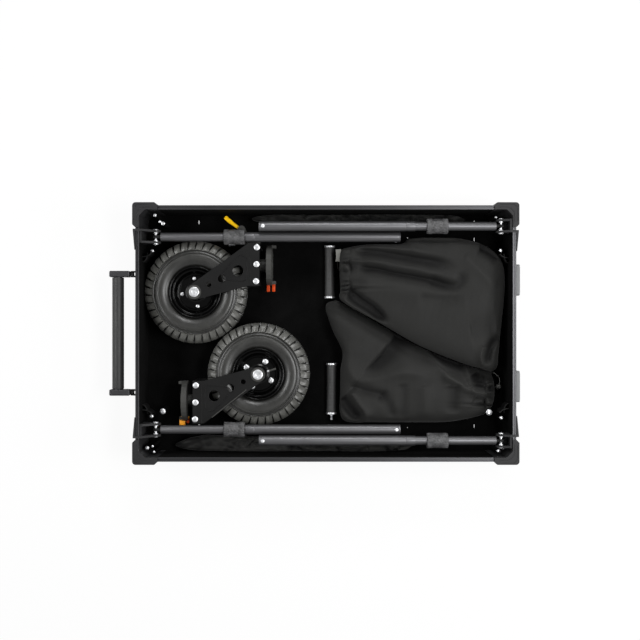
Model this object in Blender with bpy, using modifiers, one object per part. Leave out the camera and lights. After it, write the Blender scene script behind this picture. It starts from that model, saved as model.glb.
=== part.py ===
"""Workstation cart, folded flat: an open tray that holds its own posts, casters, bags and hand grips.

Metres, +Z up. The origin is the middle of the tray's underside. +X is the end with the two stand-up
feet, -X is the end with the carrying handle, and the rear is +Y.
"""

import math

import bmesh
import bpy
from mathutils import Matrix, Vector

# Clearances that every fit shares
SEAM = 0.0003
RUNNING_FIT = 0.0003
WELD = 0.00001
JOIN_OVERLAP = 0.0020
CUT_MARGIN = 0.0100

# Tray
TRAY_LENGTH = 0.9148
TRAY_WIDTH = 0.6160
TRAY_HEIGHT = 0.1500
END_WALL = 0.0088
SIDE_WALL = 0.0105
RAIL_GROOVE_DEPTH = 0.0025
LEDGE_REACH = 0.0120
LEDGE_HEIGHT = 0.0030
PANEL_TOP = 0.0100
CARPET_PILE = 0.0040
FLOOR_TOP = PANEL_TOP + SEAM + CARPET_PILE

# Corner castings
CASTING_PROUD = 0.0070
CASTING_ARM = 0.0600
CASTING_WEB = 0.0150
CASTING_ROUND = 0.0080
CASTING_RISE = 0.0033
CASTING_EDGE = 0.0012

# Drain slots and drain holes in the floor
SLOT_SIZE = (0.0032, 0.0095)
SLOT_WALL_INSETS = (0.0605, 0.0170)
SLOT_INSET_LEFT = 0.1271
SLOT_INSET_RIGHT = 0.0706
DRAIN_RADIUS = 0.0016
DRAIN_WALL_INSET = 0.0565
DRAIN_SHARES = (-0.2318, 0.4648)

# Folding posts: the left pair lies lower and further in than the right pair
TUBE_RADIUS = 0.0105
TUBE_WALL = 0.0015
SLEEVE_RADIUS = 0.0120
TUBE_LENGTH = 0.4700
TUBE_BORE_DEPTH = 0.4000
TUBE_ROOT = 0.0065
LEFT_SLEEVE_START = 0.2185
RIGHT_SLEEVE_START = 0.2080
SLEEVE_LENGTH = 0.3790
SLEEVE_CAP = 0.0030
COLLAR_RADIUS = 0.0185
COLLAR_LENGTH = 0.0510
COLLAR_BEVEL = 0.0015
LEFT_COLLAR_START = 0.1665
RIGHT_COLLAR_START = 0.1290
LEFT_POST_INSET = 0.0625
RIGHT_POST_INSET = 0.0380
LEFT_POST_Z = 0.1080
RIGHT_POST_Z = 0.1275
LEFT_PIVOT_INSET = 0.0336
RIGHT_PIVOT_INSET = 0.0240
KNUCKLE_RADIUS = 0.0110
KNUCKLE_WIDTH = 0.0220

# Pivot brackets and their pins
CHEEK = 0.0050
CHEEK_NOSE = 0.0130
BRACKET_DROP = 0.0300
BRACKET_TOP_GAP = 0.0040
BACK_PLATE = 0.0050
STRAP = 0.0030
HOOK_DROP = 0.0600
WING_REACH = 0.0052
WING_LENGTH = 0.0450
WING_TIP = 0.0012
WING_INSET = 0.0010
WING_LOW_STEP = 0.0020
WING_HIGH_STEP = 0.0005
PIN_RADIUS = 0.0050
PIN_HEAD_RADIUS = 0.0080
PIN_HEAD = 0.0030

# Stand-up feet on the right end
FOOT_LENGTH = 0.0760
FOOT_HEIGHT = 0.0700
FOOT_DEPTH = 0.0168
FOOT_OFFSET = 0.1300
FOOT_Z = 0.0800
FOOT_EDGE = 0.0020

# Carrying handle on the left end
HANDLE_Z = 0.1000
HANDLE_STANDOFF = 0.0151
HANDLE_REACH = 0.0359
HANDLE_HALF_SPAN = 0.1447
HANDLE_ARM_WIDTH = 0.0154
HANDLE_ARM_THICKNESS = 0.0080
HANDLE_TONGUE = 0.0070
HANDLE_TUBE_RADIUS = 0.0105
HANDLE_GRIP_RADIUS = 0.0142
HANDLE_ARM_TIP = 0.0200
HANDLE_ARM_HEIGHT = 0.0250
HANDLE_ARM_EDGE = 0.0030
HANDLE_GRIP_GAP = 0.0010
HANDLE_PIN_INSET = 0.0010
HANDLE_PIN_RADIUS = 0.0020
HINGE_NOSE = 0.0052
HINGE_RISE = 0.0110
HINGE_PLATE = 0.0050

# Casters, lying on their sides
TYRE_RADIUS = 0.1265
TYRE_HALF_WIDTH = 0.0360
RIM_RADIUS = 0.0630
RIM_SEAT_RADIUS = 0.0540
RIM_HALF_WIDTH = 0.0310
RIM_DISC = 0.0080
RIM_BARREL = 0.0040
RIM_SEAT_INSET = 0.0045
RIM_LIP = 0.0020
RIM_LIP_ROUND = 0.0010
HUB_GAP = 0.0010
BEAD_SEAT_GAP = 0.0004
BEAD_GAP = 0.0005
BEAD_DROP = 0.0026
BEAD_LIP = 0.0018
SIDEWALL_REACH = 0.0170
SIDEWALL_DROP = 0.0010
TYRE_SHOULDER = ((0.0260, 0.0), (0.0100, 0.0040), (0.0045, 0.0100), (0.0, 0.0200))
HUB_RADIUS = 0.0180
AXLE_RADIUS = 0.0060
AXLE_HEAD_RADIUS = 0.0125
AXLE_HEAD = 0.0042
AXLE_HEAD_EDGE = 0.0010
FORK_HALF_WIDTH = 0.0475
FORK_PLATE = 0.0050
FORK_REACH = 0.1590
FORK_FLAT = 0.0270
FORK_NOSE = 0.0190
FORK_HOLE_LINE = (0.1065, 0.0516)
FORK_HOLES = ((1.0, 0.0134), (0.63, 0.0097), (0.335, 0.0061))
YOKE_HALF = 0.0520
TRAIL = 0.0670
KINGPIN_RADIUS = 0.0070
KINGPIN_NUT_RADIUS = 0.0130
KINGPIN_NUT = 0.0090
SWIVEL_GAP = 0.0160
NECK_RADIUS = 0.0160
PLATE_RADIUS = 0.0500
PLATE_THICKNESS = 0.0130
LIP_REACH = 0.0100
LIP_WIDTH = 0.0240
LIP_DEPTH = 0.0080
LIP_EDGE = 0.0012
TAB_REACH = 0.0655
TAB_NOSE = 0.0044
TAB_EDGE_GAP = 0.0015
TAB_EAR_HALF = 0.0040
TAB_EAR = 0.0030
TAB_THICKNESS = 0.0070
TAB_HINGE = (0.0340, 0.0430)
TAB_PIN_RADIUS = 0.0016
WHEEL_GAP = 0.0015
WHEEL_WALL_INSET = 0.1967
WHEEL_Z = FLOOR_TOP + SEAM + FORK_HALF_WIDTH + SEAM + AXLE_HEAD

# Foot brake of the rear caster
BRAKE_PIVOT = (0.1130, 0.1550)
BRAKE_BRACKET_Z = (0.0460, 0.0870)
BRAKE_CHEEK = 0.0070
BRAKE_PIN_RADIUS = 0.0022
BRAKE_HUB_RADIUS = 0.0065
BRAKE_NOSE_RADIUS = 0.0095
BRAKE_BASE = 0.0050
BRAKE_BASE_HALF = 0.0180
BRAKE_SLOT_FLOOR = 0.0080
BRAKE_LEVER_REACH = (-0.0414, 0.0312)
BRAKE_LEVER_THICKNESS = 0.0090

# Loose hand grips on the floor
GRIP_RADIUS = 0.0140
GRIP_WAIST = 0.0122
GRIP_RING = 0.0070
GRIP_STEP = 0.0010
GRIP_SETBACK = {"rear": 0.0494, "front": 0.0538}
REAR_GRIP_Y = (0.0870, 0.2200)
FRONT_GRIP_Y = (-0.2050, -0.0760)
STUD_RADIUS = 0.0040
STUD_LENGTH = 0.0140

# Soft pieces
CORD_RADIUS = 0.0015
TOGGLE_RADIUS = 0.0065
POUCH_HEIGHT = 0.0420
BAG_SETTLE = 0.0005
BAG_SETBACK = 0.0678
REAR_BAG_HEIGHT = 0.1119
FRONT_BAG_HEIGHT = 0.1039
BAG_LEVELS = ((0.0, 0.90), (0.178, 0.99), (0.462, 1.0), (0.678, 0.94), (0.885, 0.82), (1.0, 0.52))
POUCH_LEVELS = ((0.0, 0.985), (0.19, 0.997), (0.77, 0.997), (1.0, 0.97))

ROUND_SIDES = 20
SHARP_ANGLE = math.radians(35)


def srgb(hex_colour):
    """Linear RGBA of an sRGB colour written as six hex digits."""
    channels = [int(hex_colour[i:i + 2], 16) / 255 for i in (0, 2, 4)]
    linear = [c / 12.92 if c <= 0.04045 else ((c + 0.055) / 1.055) ** 2.4 for c in channels]
    return (*linear, 1.0)


def material(name, hex_colour, roughness, metallic):
    """A Principled material, made once for each name."""
    made = bpy.data.materials.get(name)
    if made is None:
        made = bpy.data.materials.new(name)
        made.use_nodes = True
        shader = made.node_tree.nodes["Principled BSDF"]
        shader.inputs["Base Color"].default_value = srgb(hex_colour)
        shader.inputs["Roughness"].default_value = roughness
        shader.inputs["Metallic"].default_value = metallic
    return made


def black_anodised():
    return material("black_anodised_aluminium", "2B2C2E", 0.42, 0.7)


def cast_black():
    return material("cast_black_aluminium", "38393B", 0.55, 0.5)


def panel_black():
    return material("black_floor_panel", "151617", 0.6, 0.0)


def carpet_black():
    return material("black_carpet", "0B0B0C", 0.95, 0.0)


def bright_steel():
    return material("zinc_plated_steel", "C9CBCD", 0.3, 1.0)


def black_steel():
    return material("powder_coated_steel", "1C1D1E", 0.45, 0.3)


def tyre_rubber():
    return material("tyre_rubber", "26272A", 0.7, 0.0)


def grip_rubber():
    return material("grip_rubber", "2C2D2F", 0.8, 0.0)


def foot_grey():
    return material("grey_foot_plastic", "7B7D80", 0.6, 0.0)


def brake_yellow():
    return material("yellow_brake_paint", "F2B51E", 0.45, 0.0)


def release_orange():
    return material("orange_release_plastic", "EE7A1B", 0.45, 0.0)


def bag_nylon():
    return material("black_bag_nylon", "1A1B1D", 0.85, 0.0)


def cord_nylon():
    return material("black_cord_nylon", "202123", 0.8, 0.0)


def collection(name):
    made = bpy.data.collections.new(name)
    bpy.context.scene.collection.children.link(made)
    return made


def place(obj, surface):
    """Give a finished piece its material and round shading."""
    obj.data.materials.clear()
    obj.data.materials.append(surface)
    obj.data.shade_smooth()
    obj.data.set_sharp_from_angle(angle=SHARP_ANGLE)
    return obj


def bake(obj):
    """Replace an object's mesh by what its modifiers make of it."""
    bpy.context.view_layer.update()
    graph = bpy.context.evaluated_depsgraph_get()
    mesh = bpy.data.meshes.new_from_object(obj.evaluated_get(graph))
    obj.modifiers.clear()
    obj.data = mesh
    mesh.name = obj.name
    return obj


def new_object(name, mesh):
    obj = bpy.data.objects.new(name, mesh)
    CART.objects.link(obj)
    return obj


def combine(obj, tools, operation):
    """Join solids to a piece, or cut them out of it, and drop the tools."""
    for tool in tools:
        step = obj.modifiers.new(operation.lower(), "BOOLEAN")
        step.operation = operation
        step.object = tool
        step.solver = "EXACT"
    bake(obj)
    for tool in tools:
        bpy.data.objects.remove(tool)
    return obj


def fuse(obj, *tools):
    return combine(obj, tools, "UNION")


def carve(obj, *tools):
    return combine(obj, tools, "DIFFERENCE")


def box(name, low, high):
    """A box between two opposite corners, given in any order."""
    mesh = bpy.data.meshes.new(name)
    shape = bmesh.new()
    size = [abs(b - a) for a, b in zip(low, high)]
    centre = [(a + b) / 2 for a, b in zip(low, high)]
    bmesh.ops.create_cube(shape, size=1.0, matrix=Matrix.Translation(centre) @ Matrix.Diagonal((*size, 1)))
    shape.to_mesh(mesh)
    shape.free()
    return new_object(name, mesh)


def soften(obj, width, segments=1):
    """Chamfer or round the sharp edges of a piece."""
    bevel = obj.modifiers.new("edges", "BEVEL")
    bevel.width = width
    bevel.segments = segments
    bevel.limit_method = "ANGLE"
    bevel.angle_limit = math.radians(40)
    return bake(obj)


AXES = {
    "Z": Matrix.Identity(4),
    "Y": Matrix(((1, 0, 0, 0), (0, 0, 1, 0), (0, 1, 0, 0), (0, 0, 0, 1))),
    "X": Matrix(((0, 0, 1, 0), (1, 0, 0, 0), (0, 1, 0, 0), (0, 0, 0, 1))),
}


def move_mesh(obj, matrix):
    """Move a piece's mesh, and keep its faces pointing out if the move mirrors it."""
    obj.data.transform(matrix)
    if matrix.determinant() < 0:
        obj.data.flip_normals()
    return obj


def extrude(name, outline, low, high, axis="Z", holes=()):
    """A flat outline with holes, thickened from low to high along an axis.

    The outline's two coordinates are (x, y) along Z, (x, z) along Y and (y, z) along X.
    """
    curve = bpy.data.curves.new(name, "CURVE")
    curve.dimensions = "2D"
    curve.fill_mode = "BOTH"
    curve.extrude = abs(high - low) / 2
    for points in (outline, *holes):
        spline = curve.splines.new("POLY")
        spline.points.add(len(points) - 1)
        for target, (u, v) in zip(spline.points, points):
            target.co = (u, v, 0.0, 1.0)
        spline.use_cyclic_u = True
    guide = new_object(name + "_outline", curve)
    bpy.context.view_layer.update()
    graph = bpy.context.evaluated_depsgraph_get()
    mesh = bpy.data.meshes.new_from_object(guide.evaluated_get(graph))
    bpy.data.objects.remove(guide)
    shape = bmesh.new()
    shape.from_mesh(mesh)
    bmesh.ops.remove_doubles(shape, verts=shape.verts, dist=WELD)
    bmesh.ops.recalc_face_normals(shape, faces=shape.faces)
    shape.to_mesh(mesh)
    shape.free()
    mesh.name = name
    solid = new_object(name, mesh)
    return move_mesh(solid, AXES[axis] @ Matrix.Translation((0, 0, (low + high) / 2)))


def turn(name, profile, axis="Z", centre=(0, 0, 0), closed=False, sides=ROUND_SIDES):
    """A turned piece: (radius, height) points from the top, down the outer side, round an axis."""
    mesh = bpy.data.meshes.new(name)
    count = len(profile)
    edges = [(i, i + 1) for i in range(count - 1)]
    if closed:
        edges.append((count - 1, 0))
    mesh.from_pydata([(radius, 0, height) for radius, height in profile], edges, [])
    solid = new_object(name, mesh)
    screw = solid.modifiers.new("turn", "SCREW")
    screw.angle = math.tau
    screw.steps = sides
    screw.render_steps = sides
    screw.use_merge_vertices = True
    screw.merge_threshold = WELD
    bake(solid)
    return move_mesh(solid, Matrix.Translation(centre) @ AXES[axis])


def cylinder(name, radius, low, high, axis="Z", centre=(0, 0, 0), sides=ROUND_SIDES):
    return turn(name, [(0, high), (radius, high), (radius, low), (0, low)], axis, centre, sides=sides)


def ring_points(centre, radius, sides=16):
    """Points of a circle, for a round hole or outline."""
    angles = [math.tau * i / sides for i in range(sides)]
    return [(centre[0] + radius * math.cos(a), centre[1] + radius * math.sin(a)) for a in angles]


def arc_points(centre, radius, start, end, steps=6):
    """Points of an arc from one angle to another, both in degrees."""
    angles = [math.radians(start + (end - start) * i / steps) for i in range(steps + 1)]
    return [(centre[0] + radius * math.cos(a), centre[1] + radius * math.sin(a)) for a in angles]


def rectangle(low_u, high_u, low_v, high_v):
    return [(low_u, low_v), (high_u, low_v), (high_u, high_v), (low_u, high_v)]


def chamfered_rectangle(half_u, half_v, cut):
    """A rectangle round the origin with its corners cut at 45 degrees."""
    corner = [(half_u - cut, half_v), (half_u, half_v - cut)]
    turned_back = [(u, -v) for u, v in reversed(corner)]
    right = corner + turned_back
    return right + [(-u, -v) for u, v in right]


# Lengths and faces that several sub-parts share
INNER_X = TRAY_LENGTH / 2 - END_WALL
INNER_Y = TRAY_WIDTH / 2 - SIDE_WALL
RAIL_END_X = TRAY_LENGTH / 2 + CASTING_PROUD - CASTING_ARM - SEAM
RAIL_END_Y = TRAY_WIDTH / 2 + CASTING_PROUD - CASTING_ARM - SEAM
CASTING_TOP = TRAY_HEIGHT + CASTING_RISE
CORNERS = [(sx, sy) for sy in (-1, 1) for sx in (-1, 1)]


def corner_name(sx, sy):
    return ("rear" if sy > 0 else "front") + ("_right" if sx > 0 else "_left")


def post_values(sx):
    """Pivot x, pivot y, pivot z, collar start and sleeve start of the posts on one side."""
    if sx < 0:
        return (LEFT_PIVOT_INSET - INNER_X, INNER_Y - LEFT_POST_INSET, LEFT_POST_Z,
                LEFT_COLLAR_START, LEFT_SLEEVE_START)
    return (INNER_X - RIGHT_PIVOT_INSET, INNER_Y - RIGHT_POST_INSET, RIGHT_POST_Z,
            RIGHT_COLLAR_START, RIGHT_SLEEVE_START)


def rail_profile(wall):
    """Section of a rail: inward distance from the outer face, and height."""
    groove_outer = wall * 0.32
    groove_inner = wall * 0.68
    groove_floor = TRAY_HEIGHT - RAIL_GROOVE_DEPTH
    return [
        (0, 0), (0, TRAY_HEIGHT), (groove_outer, TRAY_HEIGHT), (groove_outer, groove_floor),
        (groove_inner, groove_floor), (groove_inner, TRAY_HEIGHT), (wall, TRAY_HEIGHT),
        (wall, LEDGE_HEIGHT), (wall + LEDGE_REACH, LEDGE_HEIGHT), (wall + LEDGE_REACH, 0),
    ]


def build_rails():
    for sy, name in ((-1, "side_rail_front"), (1, "side_rail_rear")):
        outline = [(sy * (TRAY_WIDTH / 2 - inward), z) for inward, z in rail_profile(SIDE_WALL)]
        place(extrude(name, outline, -RAIL_END_X, RAIL_END_X, "X"), black_anodised())
    for sx, name in ((-1, "end_rail_left"), (1, "end_rail_right")):
        outline = [(sx * (TRAY_LENGTH / 2 - inward), z) for inward, z in rail_profile(END_WALL)]
        place(extrude(name, outline, -RAIL_END_Y, RAIL_END_Y, "Y"), black_anodised())


def floor_holes():
    """Drain slots in pairs beside each post, and four small drain holes."""
    holes = []
    for x in (SLOT_INSET_LEFT - INNER_X, INNER_X - SLOT_INSET_RIGHT):
        for inset in SLOT_WALL_INSETS:
            for y in (inset - INNER_Y, INNER_Y - inset):
                half_u, half_v = SLOT_SIZE[0] / 2, SLOT_SIZE[1] / 2
                holes.append(rectangle(x - half_u, x + half_u, y - half_v, y + half_v))
    drain_y = INNER_Y - DRAIN_WALL_INSET
    for share in DRAIN_SHARES:
        for y in (-drain_y, drain_y):
            holes.append(ring_points((share * INNER_X, y), DRAIN_RADIUS, 8))
    return holes


def build_floor():
    """A panel stepped over the rails' ledges, and a carpet on it."""
    cut = CASTING_WEB + 2 * SEAM
    holes = floor_holes()
    upper = chamfered_rectangle(INNER_X - SEAM, INNER_Y - SEAM, cut)
    panel = extrude("floor_panel", upper, LEDGE_HEIGHT + SEAM, PANEL_TOP, "Z")
    half_x = INNER_X - LEDGE_REACH - SEAM
    half_y = INNER_Y - LEDGE_REACH - SEAM
    fuse(panel, box("panel_underside", (-half_x, -half_y, 0), (half_x, half_y, PANEL_TOP - JOIN_OVERLAP)))
    cutters = [extrude("slot", hole, -CUT_MARGIN, PANEL_TOP + CUT_MARGIN) for hole in holes]
    place(carve(panel, *cutters), panel_black())
    carpet = extrude("floor_carpet", upper, PANEL_TOP + SEAM, FLOOR_TOP, "Z", holes)
    place(carpet, carpet_black())


def build_corner_castings():
    """L-shaped corners, proud of the rails, with tapered ends and a web inside."""
    inner_a = CASTING_PROUD + END_WALL
    inner_b = CASTING_PROUD + SIDE_WALL
    corner = arc_points((CASTING_ROUND, CASTING_ROUND), CASTING_ROUND, 180, 270, 5)
    outline = corner + [
        (CASTING_ARM - CASTING_PROUD, 0), (CASTING_ARM, CASTING_PROUD), (CASTING_ARM, inner_b),
        (inner_a + CASTING_WEB, inner_b), (inner_a, inner_b + CASTING_WEB),
        (inner_a, CASTING_ARM), (CASTING_PROUD, CASTING_ARM), (0, CASTING_ARM - CASTING_PROUD),
    ]
    outer_x = TRAY_LENGTH / 2 + CASTING_PROUD
    outer_y = TRAY_WIDTH / 2 + CASTING_PROUD
    for sx, sy in CORNERS:
        points = [(sx * (outer_x - a), sy * (outer_y - b)) for a, b in outline]
        casting = extrude("corner_casting_" + corner_name(sx, sy), points, 0, CASTING_TOP)
        place(soften(casting, CASTING_EDGE), cast_black())


def build_pivot_brackets():
    """Two cheeks on a back plate. One cheek hooks over the rail and carries a tapered wing outside."""
    for sx, sy in CORNERS:
        name = corner_name(sx, sy)
        pivot_x, post_y, pivot_z, _, _ = post_values(sx)
        wall_in = INNER_X - SEAM
        wall_out = TRAY_LENGTH / 2 + SEAM
        low_z = pivot_z - BRACKET_DROP
        top_z = TRAY_HEIGHT - BRACKET_TOP_GAP
        strap_z = TRAY_HEIGHT + SEAM
        nose_x = abs(pivot_x)
        nose = arc_points((nose_x, pivot_z), CHEEK_NOSE, 100, 250, 6)
        plain = [(wall_in, low_z), (wall_in, top_z), *nose]
        hooked = [
            (wall_in, low_z), (wall_in, strap_z), (wall_out, strap_z),
            (wall_out, strap_z - HOOK_DROP), (wall_out + WING_REACH, strap_z - HOOK_DROP),
            (wall_out + WING_REACH, strap_z + STRAP), (wall_in - BACK_PLATE, strap_z + STRAP), *nose,
        ]
        inner_face = post_y - KNUCKLE_WIDTH / 2 - SEAM
        outer_face = post_y + KNUCKLE_WIDTH / 2 + SEAM
        inner_cheek = (inner_face - CHEEK, inner_face)
        outer_cheek = (outer_face, outer_face + CHEEK)
        hook_cheek, plain_cheek = (outer_cheek, inner_cheek) if sx < 0 else (inner_cheek, outer_cheek)

        def on_side(points):
            return [(sx * u, v) for u, v in points]

        bracket = extrude("pivot_bracket_" + name, on_side(hooked),
                          sy * hook_cheek[0], sy * hook_cheek[1], "Y")
        second = extrude("cheek", on_side(plain), sy * plain_cheek[0], sy * plain_cheek[1], "Y")
        back = box("back", (sx * wall_in, sy * inner_cheek[0], low_z),
                   (sx * (wall_in - BACK_PLATE), sy * outer_cheek[1], top_z))
        wing_start, wing_end = hook_cheek[1] - WING_INSET, hook_cheek[0] - WING_LENGTH
        wing_outline = [
            (wall_out, wing_start), (wall_out + WING_REACH, wing_start),
            (wall_out + WING_REACH, hook_cheek[0]),
            (wall_out + WING_TIP, wing_end), (wall_out, wing_end),
        ]
        wing = extrude("wing", [(sx * u, sy * v) for u, v in wing_outline],
                       strap_z - HOOK_DROP + WING_LOW_STEP, strap_z + STRAP - WING_HIGH_STEP)
        fuse(bracket, second, back, wing)
        bore = cylinder("bore", PIN_RADIUS + RUNNING_FIT, -KNUCKLE_WIDTH, KNUCKLE_WIDTH, "Y",
                        (pivot_x, sy * post_y, pivot_z))
        place(carve(bracket, bore), cast_black())

        half = KNUCKLE_WIDTH / 2 + SEAM + CHEEK + SEAM
        end = half + PIN_HEAD
        pin = turn("pivot_pin_" + name, [
            (0, end), (PIN_HEAD_RADIUS, end), (PIN_HEAD_RADIUS, half), (PIN_RADIUS, half),
            (PIN_RADIUS, -half), (PIN_HEAD_RADIUS, -half), (PIN_HEAD_RADIUS, -end), (0, -end),
        ], "Y", (pivot_x, sy * post_y, pivot_z), sides=14)
        place(pin, bright_steel())


def build_posts():
    """Each post is a tube with a knuckle, a sleeve that telescopes over it, and a sliding collar."""
    for sx, sy in CORNERS:
        name = corner_name(sx, sy)
        pivot_x, post_y, pivot_z, collar_start, sleeve_start = post_values(sx)
        away = -sx
        pivot = Matrix.Translation((pivot_x, sy * post_y, pivot_z))
        along = pivot @ Matrix.Diagonal((away, 1, 1, 1)) @ AXES["X"]

        tube = turn("post_tube_" + name, [
            (0, TUBE_LENGTH - TUBE_BORE_DEPTH), (TUBE_RADIUS - TUBE_WALL, TUBE_LENGTH - TUBE_BORE_DEPTH),
            (TUBE_RADIUS - TUBE_WALL, TUBE_LENGTH), (TUBE_RADIUS, TUBE_LENGTH),
            (TUBE_RADIUS, TUBE_ROOT), (0, TUBE_ROOT),
        ])
        move_mesh(tube, along)
        half = KNUCKLE_WIDTH / 2
        knuckle = cylinder("knuckle", KNUCKLE_RADIUS, -half, half, "Y", (pivot_x, sy * post_y, pivot_z))
        bore = cylinder("bore", PIN_RADIUS + RUNNING_FIT, -KNUCKLE_WIDTH, KNUCKLE_WIDTH, "Y",
                        (pivot_x, sy * post_y, pivot_z))
        fuse(tube, knuckle)
        place(carve(tube, bore), black_anodised())

        sleeve_bore = TUBE_RADIUS + RUNNING_FIT
        sleeve_end = sleeve_start + SLEEVE_LENGTH
        sleeve = turn("post_sleeve_" + name, [
            (0, sleeve_end), (SLEEVE_RADIUS, sleeve_end), (SLEEVE_RADIUS, sleeve_start),
            (sleeve_bore, sleeve_start), (sleeve_bore, sleeve_end - SLEEVE_CAP), (0, sleeve_end - SLEEVE_CAP),
        ])
        place(move_mesh(sleeve, along), black_anodised())

        low, high = collar_start, collar_start + COLLAR_LENGTH
        collar_bore = TUBE_RADIUS + RUNNING_FIT
        collar = turn("post_collar_" + name, [
            (collar_bore, high), (COLLAR_RADIUS - COLLAR_BEVEL, high), (COLLAR_RADIUS, high - COLLAR_BEVEL),
            (COLLAR_RADIUS, low + COLLAR_BEVEL), (COLLAR_RADIUS - COLLAR_BEVEL, low), (collar_bore, low),
        ], closed=True)
        place(move_mesh(collar, along), cast_black())


def build_end_feet():
    face = TRAY_LENGTH / 2 + SEAM
    for sy, name in ((-1, "end_foot_front"), (1, "end_foot_rear")):
        y = sy * FOOT_OFFSET
        foot = box(name, (face, y - FOOT_LENGTH / 2, FOOT_Z - FOOT_HEIGHT / 2),
                   (face + FOOT_DEPTH, y + FOOT_LENGTH / 2, FOOT_Z + FOOT_HEIGHT / 2))
        place(soften(foot, FOOT_EDGE, 2), foot_grey())


def build_handle():
    """Two hinge blocks on the left end carry a frame of two flat arms and a tube with a grip."""
    face = -TRAY_LENGTH / 2 - SEAM
    axis_x = -TRAY_LENGTH / 2 - HANDLE_STANDOFF
    ear_in = HANDLE_TONGUE / 2 + SEAM
    half_arm = HANDLE_ARM_WIDTH / 2
    for sy, name in ((-1, "handle_hinge_front"), (1, "handle_hinge_rear")):
        y = sy * HANDLE_HALF_SPAN
        nose = arc_points((axis_x, HANDLE_Z), HINGE_NOSE, 90, 270, 8)
        outline = [(face, HANDLE_Z - HINGE_NOSE), (face, HANDLE_Z + HINGE_RISE),
                   (face - HINGE_PLATE, HANDLE_Z + HINGE_RISE), *nose]
        block = extrude(name, outline, y - half_arm, y + half_arm, "Y")
        slot = box("slot", (face - HINGE_PLATE, y - ear_in, HANDLE_Z - 2 * HINGE_RISE),
                   (axis_x - 2 * HINGE_NOSE, y + ear_in, HANDLE_Z + 2 * HINGE_RISE))
        carve(block, slot)
        half_pin = half_arm - HANDLE_PIN_INSET
        pin = cylinder("pin", HANDLE_PIN_RADIUS, -half_pin, half_pin, "Y", (axis_x, y, HANDLE_Z), sides=12)
        place(fuse(block, pin), black_steel())

    grip_x = axis_x - HANDLE_REACH
    eye = HANDLE_ARM_THICKNESS / 2
    tip_x = grip_x - HANDLE_ARM_TIP
    half_height = HANDLE_ARM_HEIGHT / 2
    shoulder_x = axis_x - HINGE_NOSE - SEAM
    tube = cylinder("handle_frame", HANDLE_TUBE_RADIUS, -HANDLE_HALF_SPAN, HANDLE_HALF_SPAN, "Y",
                    (grip_x, 0, HANDLE_Z))
    pieces = []
    bores = []
    for sy in (-1, 1):
        y = sy * HANDLE_HALF_SPAN
        tongue = box("tongue", (axis_x, y - HANDLE_TONGUE / 2, HANDLE_Z - eye),
                     (shoulder_x - JOIN_OVERLAP, y + HANDLE_TONGUE / 2, HANDLE_Z + eye))
        round_end = cylinder("round_end", eye, -HANDLE_TONGUE / 2, HANDLE_TONGUE / 2, "Y",
                             (axis_x, y, HANDLE_Z), sides=16)
        arm = extrude("arm", rectangle(tip_x, shoulder_x, HANDLE_Z - half_height, HANDLE_Z + half_height),
                      y - half_arm, y + half_arm, "Y")
        pieces += [tongue, round_end, soften(arm, HANDLE_ARM_EDGE, 2)]
        bores.append(cylinder("bore", HANDLE_PIN_RADIUS + SEAM, -HANDLE_ARM_WIDTH, HANDLE_ARM_WIDTH, "Y",
                              (axis_x, y, HANDLE_Z), sides=12))
    fuse(tube, *pieces)
    place(carve(tube, *bores), black_anodised())

    half_grip = HANDLE_HALF_SPAN - half_arm - HANDLE_GRIP_GAP
    bore = HANDLE_TUBE_RADIUS + SEAM
    grip = turn("handle_grip", [
        (bore, half_grip), (HANDLE_GRIP_RADIUS, half_grip),
        (HANDLE_GRIP_RADIUS, -half_grip), (bore, -half_grip),
    ], "Y", (grip_x, 0, HANDLE_Z), closed=True)
    place(grip, grip_rubber())


def rear_hub():
    """Hub centre of the rear caster, its tyre close to the left wall."""
    return (-INNER_X + TYRE_RADIUS + WHEEL_GAP, INNER_Y - WHEEL_WALL_INSET, WHEEL_Z)


def front_hub():
    """Hub centre of the front caster: its tyre is close to the rear tyre, or its mount to the left wall."""
    x, y, z = rear_hub()
    apart = 2 * TYRE_RADIUS + WHEEL_GAP
    beside = math.sqrt(max(apart ** 2 - (2 * y) ** 2, 0.0))
    mount_reach = FORK_REACH + SWIVEL_GAP + PLATE_THICKNESS + LIP_REACH
    return (max(x + beside, -INNER_X + mount_reach + WHEEL_GAP), -y, z)


def bay_start():
    """X where the two casters end and the space for grips and bags begins."""
    return front_hub()[0] + TYRE_RADIUS


def tangent_angle(point, radius, side):
    """Angle in degrees where a line from a point touches a circle round the origin."""
    reach = math.hypot(*point)
    return math.degrees(math.atan2(point[1], point[0]) + side * math.acos(radius / reach))


def fork_outline():
    """Side plate of a fork: a square end at the yoke, tapering to a round nose at the axle."""
    low_y, high_y = TRAIL - YOKE_HALF, TRAIL + YOKE_HALF
    flat_x = FORK_REACH - FORK_FLAT
    upper = tangent_angle((flat_x, high_y), FORK_NOSE, 1)
    lower = tangent_angle((flat_x, low_y), FORK_NOSE, -1)
    nose = arc_points((0, 0), FORK_NOSE, upper, 360 + lower, 8)
    return [(FORK_REACH, low_y), (FORK_REACH, high_y), (flat_x, high_y), *nose, (flat_x, low_y)]


def fork_holes():
    """Three lightening holes in line, smaller towards the axle, and the axle hole."""
    line = Vector(FORK_HOLE_LINE)
    holes = [ring_points(line * share, radius, 14) for share, radius in FORK_HOLES]
    return holes + [ring_points((0, 0), AXLE_RADIUS + SEAM, 12)]


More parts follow.
